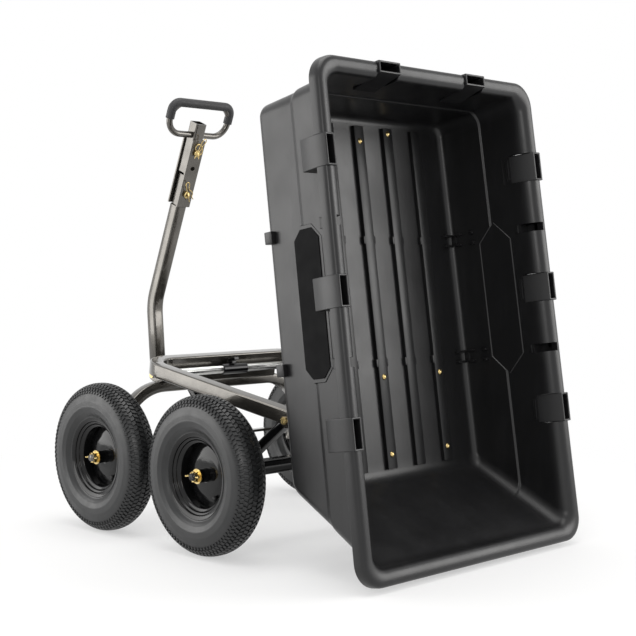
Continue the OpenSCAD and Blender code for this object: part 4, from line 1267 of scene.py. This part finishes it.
    def tyre(self, material: bpy.types.Material) -> bpy.types.Object:
        """Makes the tyre.

        Args:
            material: Its finish.

        Returns:
            The tyre, about the origin.
        """
        turn = (0, math.tau / self.pitches, 0)
        blocks = repeat(self.tread_pitch(), material, self.pitches, turn=turn)
        mesh = bmesh.new()
        revolve(mesh, self.carcass(), self.turn_steps)
        bmesh.ops.recalc_face_normals(mesh, faces=mesh.faces[:])
        absorb(mesh, blocks)
        return shade(as_object("tyre", mesh, recalc=False), degrees=40)

    def rim(self) -> bpy.types.Object:
        """Makes the rim: rolled barrel, dished disc and hub.

        Returns:
            The rim, about the origin.
        """
        mesh = bmesh.new()
        half, t = self.rim_half, self.sheet
        path = [(self.flange_r, half), (self.seat_r, half - t), (self.seat_r, self.seat_y),
                *self.barrel, self.well]
        outside = path + [(r, -y) for r, y in reversed(path)]
        barrel = outside + [(r - t, y) for r, y in reversed(outside)]
        disc = [*self.dish, *((r, y + t) for r, y in reversed(self.dish))]
        (inner, outer), (low, high) = self.hub, self.hub_y
        hub = [(inner, low), (outer, low), (outer, high), (inner, high)]
        for outline, reach in zip((barrel, disc, hub), self.rim_soft):
            revolve(mesh, rounded(outline, reach), self.rim_steps)
        return shade(as_object("rim", mesh), degrees=40)

    def build(self, box: Paintbox) -> None:
        """Makes the four wheels and puts each on its body.

        Args:
            box: Finishes and frame.
        """
        kinds = (("tyre", self.tyre(box.by_slot["tyre_rubber"]), "tyre_rubber"),
                 ("rim", self.rim(), "black_enamel"))
        for corner in ("front_left", "front_right", "rear_left", "rear_right"):
            turn = Matrix.Rotation(math.pi if corner.endswith("left") else 0.0, 4, "Z")
            place = Matrix.Translation(box.joint("spin_" + corner)) @ turn
            for kind, source, slot in kinds:
                piece = add_object(f"{kind}_{corner}_dressed", source.data.copy())
                piece.data.transform(place)
                box.place(piece, "wheel_" + corner, slot, f"{kind}_{corner}")
        for _, source, _ in kinds:
            bpy.data.objects.remove(source)


@dataclass
class Handle:
    """The bent pull handle: swept tube, loop grip with its foam sleeve, and the pins' clips."""

    # Tube: a lower and an upper run from the foot bolt, wider between its two joints.
    lean: float = math.radians(5.4)
    upper_lean: float = math.radians(22.5)
    foot: float = 0.020
    lower: float = 0.223
    tube_end: float = 0.424
    width: float = 0.032
    corner: float = 0.005
    bend: float = 0.150
    bend_steps: int = 14
    knee_back: float = 0.0020
    swell: float = 1.19
    swell_from: Pair = (0.034, 0.042)  # runs from the foot bolt
    swell_to: Pair = (0.3255, 0.3285)  # runs from the knee
    # Grip: a closed loop of round bar with a sleeve over its upper part.
    grip_run: float = 0.548
    grip_half: float = 0.109
    grip_height: float = 0.094
    grip_bend: float = 0.046
    grip_steps: int = 12
    rod: float = 0.0095
    sleeve: float = 0.013
    sleeve_low: float = 0.044
    sleeve_steps: int = 24
    # Hairpin clips: node of the pin, body, turn on the face and rise along the handle.
    clips: tuple[tuple[str, str, float, float], ...] = (
        ("channel_pin", "handle", 0.5, 0.020), ("hitch_pin", "hitch_pin", -0.25, 0.024))
    clip_wire: float = 0.0014
    clip_scale: float = 1.3
    clip_out: float = 0.004
    clip_back: float = 0.004
    clip_line: tuple[Pair, ...] = (
        (0.026, -0.0045), (0.004, -0.0045), (-0.012, -0.0045), (-0.021, -0.003), (-0.024, 0.001),
        (-0.021, 0.005), (-0.014, 0.0045), (-0.006, 0.0015), (0.001, 0.0055), (0.009, 0.0085),
        (0.016, 0.0045), (0.024, 0.0065))

    def up(self, lean: float) -> Pair:
        """Returns the direction (x, z) of a run that leans from the vertical."""
        return math.sin(lean), math.cos(lean)

    def tube(self, root: Vector) -> bpy.types.Object:
        """Makes the tube, bent in one smooth sweep from its foot bolt up.

        Args:
            root: Place of the foot bolt.

        Returns:
            The tube, in place.
        """
        (lx, lz), (ux, uz) = self.up(-self.lean), self.up(self.upper_lean)
        knee = (lx * self.lower, lz * self.lower)
        corners = ((-lx * self.foot, -lz * self.foot), (knee[0] + self.knee_back, knee[1]),
                   (knee[0] + ux * self.tube_end, knee[1] + uz * self.tube_end))
        start, *arc, end = bent(corners, self.bend, self.bend_steps)
        neck = [(lx * run, lz * run) for run in self.swell_from]
        head = [(knee[0] + ux * run, knee[1] + uz * run) for run in self.swell_to]
        grow = [1.0, 1.0] + [self.swell] * (len(arc) + 2) + [1.0, 1.0]
        mesh = bmesh.new()
        sweep(mesh, [start, *neck, *arc, *head, end], square_section(self.width, self.corner),
              Matrix.Translation(root), grow=grow)
        return shade(as_object("handle_tube_swept", mesh), degrees=36)

    def upper_place(self, root: Vector) -> Matrix:
        """Finds the place of the upper run.

        Args:
            root: Place of the foot bolt.

        Returns:
            The place, with +z up along the run and +x to the cart's side of it.
        """
        lx, lz = self.up(-self.lean)
        knee = root + Vector((lx, 0, lz)) * self.lower
        return Matrix.Translation(knee) @ Matrix.Rotation(self.upper_lean, 4, "Y")

    def grip(self, place: Matrix) -> tuple[bpy.types.Object, bpy.types.Object]:
        """Makes the loop of bar and its sleeve.

        Args:
            place: Place of the upper run.

        Returns:
            The loop and the sleeve, in place.
        """
        loop = (place @ Matrix.Translation((0, 0, self.grip_run))
                @ Matrix.Rotation(math.pi / 2, 4, "Z"))
        half, high = self.grip_half, self.grip_height
        lines = [bent(((half, low), (half, high), (-half, high), (-half, low)), self.grip_bend,
                      self.grip_steps, closed=closed)
                 for low, closed in ((0, True), (self.sleeve_low, False))]
        bar, cover = bmesh.new(), bmesh.new()
        sweep(bar, lines[0], round_section(self.rod), loop, closed=True)
        sweep(cover, lines[1], round_section(self.sleeve, self.sleeve_steps), loop)
        return (shade(as_object("grip_loop_bent", bar), degrees=60),
                shade(as_object("grip_sleeve_foam", cover), degrees=50))

    def hairpin(self, name: str, pin: Vector, tilt: float) -> bpy.types.Object:
        """Makes a hairpin clip that lies on the channel's face across a pin.

        Args:
            name: Name of the clip.
            pin: Middle of the pin's end.
            tilt: Turn of the clip on the face.

        Returns:
            The clip, in place.
        """
        place = (Matrix.Translation(pin) @ Matrix.Rotation(self.upper_lean, 4, "Y")
                 @ Matrix.Rotation(tilt, 4, "X") @ Matrix.Scale(self.clip_scale, 4))
        points = [place @ Vector((0, y, -z)) for z, y in self.clip_line]
        return shade(wire(name, points, self.clip_wire), degrees=60)

    def build(self, box: Paintbox) -> None:
        """Makes the tube, the grip and the clips and puts each on its body.

        Args:
            box: Finishes and frame.
        """
        root = box.joint("handle_swing")
        box.place(self.tube(root), "handle", "hammered_paint", "handle_tube")
        bar, sleeve = self.grip(self.upper_place(root))
        box.place(bar, "handle", "hammered_paint", "grip_loop")
        box.place(sleeve, "handle", "grip_rubber", "grip_sleeve")
        ux, uz = self.up(self.upper_lean)
        for node, body, tilt, rise in self.clips:
            low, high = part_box(node)
            end = Vector((high.x, 0.0, low.z)) - Vector((uz, 0, -ux)) * self.clip_back
            end += self.upper_place(Vector()).to_3x3() @ Vector((self.clip_out, 0, rise))
            box.place(self.hairpin(node + "_clip", end, tilt), body, "yellow_zinc")


@dataclass
class FrontArch:
    """The arched tube over the front wheels' steering, with its kingpin and steering sleeves."""

    tube: float = 0.032
    corner: float = 0.005
    top: float = 0.3999
    flat: float = 0.195
    bend: float = 0.150
    bend_steps: int = 10
    kingpin_y: float = 0.322
    sleeve_r: float = 0.016
    sleeve_z: Pair = (0.2224, 0.330)
    post_r: float = 0.017
    post_half: float = 0.0156
    web: Pair = (0.012, 0.011)  # half its width and half its height

    def path(self) -> list[Pair]:
        """Draws the arch's middle line from the left sleeve to the right one.

        Returns:
            Its (y, z) points.
        """
        reach = math.asin((self.kingpin_y - self.flat) / self.bend)
        z = self.top - self.tube / 2
        turns = [reach * k / self.bend_steps for k in range(self.bend_steps + 1)]
        half = [(self.flat + self.bend * math.sin(turn), z - self.bend * (1 - math.cos(turn)))
                for turn in turns]
        return [(-y, h) for y, h in reversed(half)] + half

    def build(self, box: Paintbox) -> None:
        """Makes the arch and puts it on the frame.

        Args:
            box: Finishes and frame.
        """
        axle, post = box.joint("knuckle_left"), box.joint("steer")
        wide, tall = self.web
        mesh = bmesh.new()
        sweep(mesh, self.path(), square_section(self.tube, self.corner),
              Matrix.Translation((axle.x, 0, 0)) @ Matrix.Rotation(math.pi / 2, 4, "Z"))
        for side in SIDES:
            add_rod(mesh, self.sleeve_r, self.sleeve_z,
                    Matrix.Translation((axle.x, side * self.kingpin_y, 0)))
        add_rod(mesh, self.post_r, (post.z - self.post_half, post.z + self.post_half),
                Matrix.Translation((post.x, 0, 0)))
        add_box(mesh, (post.x, -wide, post.z - tall), (axle.x, wide, post.z + tall), soft=SOFT)
        box.place(shade(as_object("front_arch_bent", mesh), degrees=36), "frame",
                  "hammered_paint", "front_arch")


@dataclass
class Steelwork:
    """CAD pieces that keep their shape, copied with smooth shading and softened edges."""

    soft_mm: dict[str, float] = field(default_factory=lambda: {
        "stake_pockets_left": 1.8, "stake_pockets_right": 1.8, "stake_pockets_front": 1.8,
        "tub_carrier": 0.9, "latch_striker": 0.8, "tow_channel": 1.0, "front_bolster": 1.0,
        "tie_bar": 0.9, "latch_hook": 1.0, "release_bar_brackets": 0.8, "tub_nuts": 0.5})
    made_elsewhere: tuple[str, ...] = (
        "tub_shell", "side_plates", "handle_tube", "grip_loop", "grip_sleeve", "front_arch",
        "tyre_", "rim_")
    # Pieces grown with the handle's tube, and whether they grow across it too.
    swollen: dict[str, bool] = field(default_factory=lambda: {
        "tow_channel": True, "grip_stem": True, "channel_pin": False, "hitch_pin": False})
    bolster_half: float = 0.190
    bar_growth: float = 1.25
    head_height: float = 0.0055
    head_lift: float = 0.0014
    merge: float = 1e-6
    flat_degrees: float = 1
    sharp_degrees: float = 35

    def reshape(self, node: str, mesh: bmesh.types.BMesh) -> None:
        """Shortens the bolster, thickens the release bar and lifts the tub's bolt heads.

        Args:
            node: Name of the node.
            mesh: Its faces.
        """
        if node == "front_bolster":
            for vert in mesh.verts:
                vert.co.y = math.copysign(min(abs(vert.co.y), self.bolster_half), vert.co.y)
        if node == "release_bar":
            middle = sum((vert.co for vert in mesh.verts), Vector()) / len(mesh.verts)
            for vert in mesh.verts:
                vert.co.x += (vert.co.x - middle.x) * (self.bar_growth - 1)
                vert.co.z += (vert.co.z - middle.z) * (self.bar_growth - 1)
        if node == "tub_bolts":
            up = Matrix.Rotation(Tub.tip, 3, "Y") @ Vector((0, 0, 1))
            top = max(vert.co.dot(up) for vert in mesh.verts)
            for vert in mesh.verts:
                if vert.co.dot(up) > top - self.head_height:
                    vert.co += up * self.head_lift

    def copy(self, node: str, source: bpy.types.Object) -> bpy.types.Object:
        """Makes a merged copy of a node with its edges softened.

        Args:
            node: Name of the node.
            source: Its object.

        Returns:
            The copy.
        """
        soft = self.soft_mm.get(node, 0.0)
        mesh = bmesh.new()
        mesh.from_mesh(source.data)
        bmesh.ops.remove_doubles(mesh, verts=mesh.verts[:], dist=self.merge)
        self.reshape(node, mesh)
        if soft:
            bmesh.ops.dissolve_limit(mesh, angle_limit=math.radians(self.flat_degrees),
                                     verts=mesh.verts[:], edges=mesh.edges[:])
            least = math.radians(self.sharp_degrees)
            sharp = [edge for edge in mesh.edges
                     if len(edge.link_faces) == 2 and edge.calc_face_angle(0) > least]
            bmesh.ops.bevel(mesh, geom=sharp, offset=soft * MM, clamp_overlap=True, **ROUND_EDGE)
        # Softened pieces keep their flat faces flat.
        return shade(as_object(node + "_dressed", mesh, recalc=False), degrees=25 if soft else 34)

    def build(self, box: Paintbox) -> None:
        """Makes a dressed copy of each node that no other class makes.

        Args:
            box: Finishes and frame.
        """
        handle = Handle()
        place = handle.upper_place(box.joint("handle_swing"))
        for node, source in box.nodes.items():
            if node.startswith(self.made_elsewhere):
                continue
            piece = self.copy(node, source)
            if node in self.swollen:
                across = handle.swell if self.swollen[node] else 1.0
                growth = Matrix.Diagonal((handle.swell, across, 1, 1))
                piece.data.transform(place @ growth @ place.inverted())
            box.place(piece, box.body_of[node], box.slot_of[node], node)


# Studio


@dataclass(frozen=True)
class Lamp:
    """One square softbox: its name, place, side in metres and watts."""

    name: str
    place: Triple
    size: float
    watts: float


@dataclass
class Studio:
    """Pale floor, soft lamps and the photograph's camera."""

    eye: Triple = (2.6039, -2.4392, 0.7385)
    yaw: float = math.radians(45.91)
    down: float = math.radians(2.49)
    focal_px: float = 1294.0
    picture_px: float = 636.0
    sensor_mm: float = 36.0
    # Light of the world on the object, and the least share of the floor that is plain white.
    ambient: float = 0.55
    pale: float = 0.48
    floor_half: float = 9.0
    floor_colour: str = "#fbfbfb"
    floor_roughness: float = 0.7
    floor_fade: Pair = (0.75, 1.7)
    aim: Triple = (0.1, 0.0, 0.5)
    lamp_colour: Triple = (1.0, 0.99, 0.975)
    lamps: tuple[Lamp, ...] = (
        Lamp("left softbox", (-2.4, -2.6, 1.15), 2.4, 56.0),
        Lamp("top softbox", (0.3, -0.3, 3.3), 2.4, 50.0),
        Lamp("right softbox", (2.6, 2.2, 1.5), 2.0, 56.0),
        Lamp("camera softbox", (2.4, -3.2, 1.7), 1.1, 22.0))

    def point(self, made: bpy.types.Object, place: Triple, ahead: Vector) -> None:
        """Puts a camera or lamp at a place and turns it to look ahead."""
        made.location = place
        made.rotation_euler = ahead.to_track_quat("-Z", "Y").to_euler()

    def camera(self) -> None:
        """Adds the camera that was fitted to the photograph."""
        data = bpy.data.cameras.new("camera")
        data.sensor_width = self.sensor_mm
        data.lens = self.sensor_mm * self.focal_px / self.picture_px
        made = add_object("camera", data)
        level = math.cos(self.down)
        self.point(made, self.eye, Vector((-math.sin(self.yaw) * level, math.cos(self.yaw) * level,
                                           -math.sin(self.down))))
        bpy.context.scene.camera = made

    def floor(self) -> None:
        """Adds the floor, which keeps the shadow and fades into the white background."""
        mesh = bmesh.new()
        bmesh.ops.create_grid(mesh, x_segments=1, y_segments=1, size=self.floor_half)
        floor = as_object("floor", mesh, recalc=False)
        paint = bpy.data.materials.new("white studio floor")
        paint.use_nodes = True
        tree = paint.node_tree
        matt = tree.nodes["Principled BSDF"]
        matt.inputs["Base Color"].default_value = linear(self.floor_colour)
        matt.inputs["Roughness"].default_value = self.floor_roughness
        where = add_node(tree, "ShaderNodeTexCoord").outputs["Object"]
        far = add_node(tree, "ShaderNodeVectorMath", {0: where}, operation="LENGTH")
        edge = add_node(tree, "ShaderNodeMapRange", {
            "Value": far.outputs["Value"], "From Min": self.floor_fade[0],
            "From Max": self.floor_fade[1]}, interpolation_type="SMOOTHSTEP")
        least = add_node(tree, "ShaderNodeMath", {0: edge.outputs[0], 1: self.pale},
                         operation="MAXIMUM")
        share = add_node(tree, "ShaderNodeMath", {0: background_rays(tree), 1: least.outputs[0]},
                         operation="MULTIPLY")
        white = add_node(tree, "ShaderNodeEmission", {"Color": (1, 1, 1, 1), "Strength": 1.0})
        mixed = add_node(tree, "ShaderNodeMixShader", {
            0: share.outputs[0], 1: matt.outputs[0], 2: white.outputs[0]})
        tree.links.new(mixed.outputs[0], tree.nodes["Material Output"].inputs[0])
        floor.data.materials.append(paint)

    def light(self) -> None:
        """Adds the lamps and the world."""
        for lamp in self.lamps:
            data = bpy.data.lights.new(lamp.name, "AREA")
            data.size, data.energy, data.color = lamp.size, lamp.watts, self.lamp_colour
            self.point(add_object(lamp.name, data), lamp.place,
                       Vector(self.aim) - Vector(lamp.place))
        world = bpy.data.worlds.new("white studio")
        bpy.context.scene.world = world
        world.use_nodes = True
        sky = world.node_tree.nodes["Background"].inputs
        level = add_node(world.node_tree, "ShaderNodeMapRange", {
            "Value": background_rays(world.node_tree), "To Min": self.ambient, "To Max": 1.0})
        world.node_tree.links.new(level.outputs[0], sky["Strength"])
        sky["Color"].default_value = (1, 1, 1, 1)

    def build(self) -> None:
        """Sets the view and adds camera, lamps and floor."""
        bpy.context.scene.view_settings.view_transform = "Standard"
        self.camera()
        self.light()
        self.floor()


def main() -> None:
    """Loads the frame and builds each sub-assembly."""
    logging.basicConfig(level=logging.INFO, format="%(name)s: %(message)s")
    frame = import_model()
    Studio().build()
    box = Paintbox(frame)
    builders: tuple[SubAssembly, ...] = (Tub(), Wheel(), Handle(), FrontArch(), Steelwork())
    for builder in builders:
        builder.build(box)


if __name__ == "__main__":
    main()
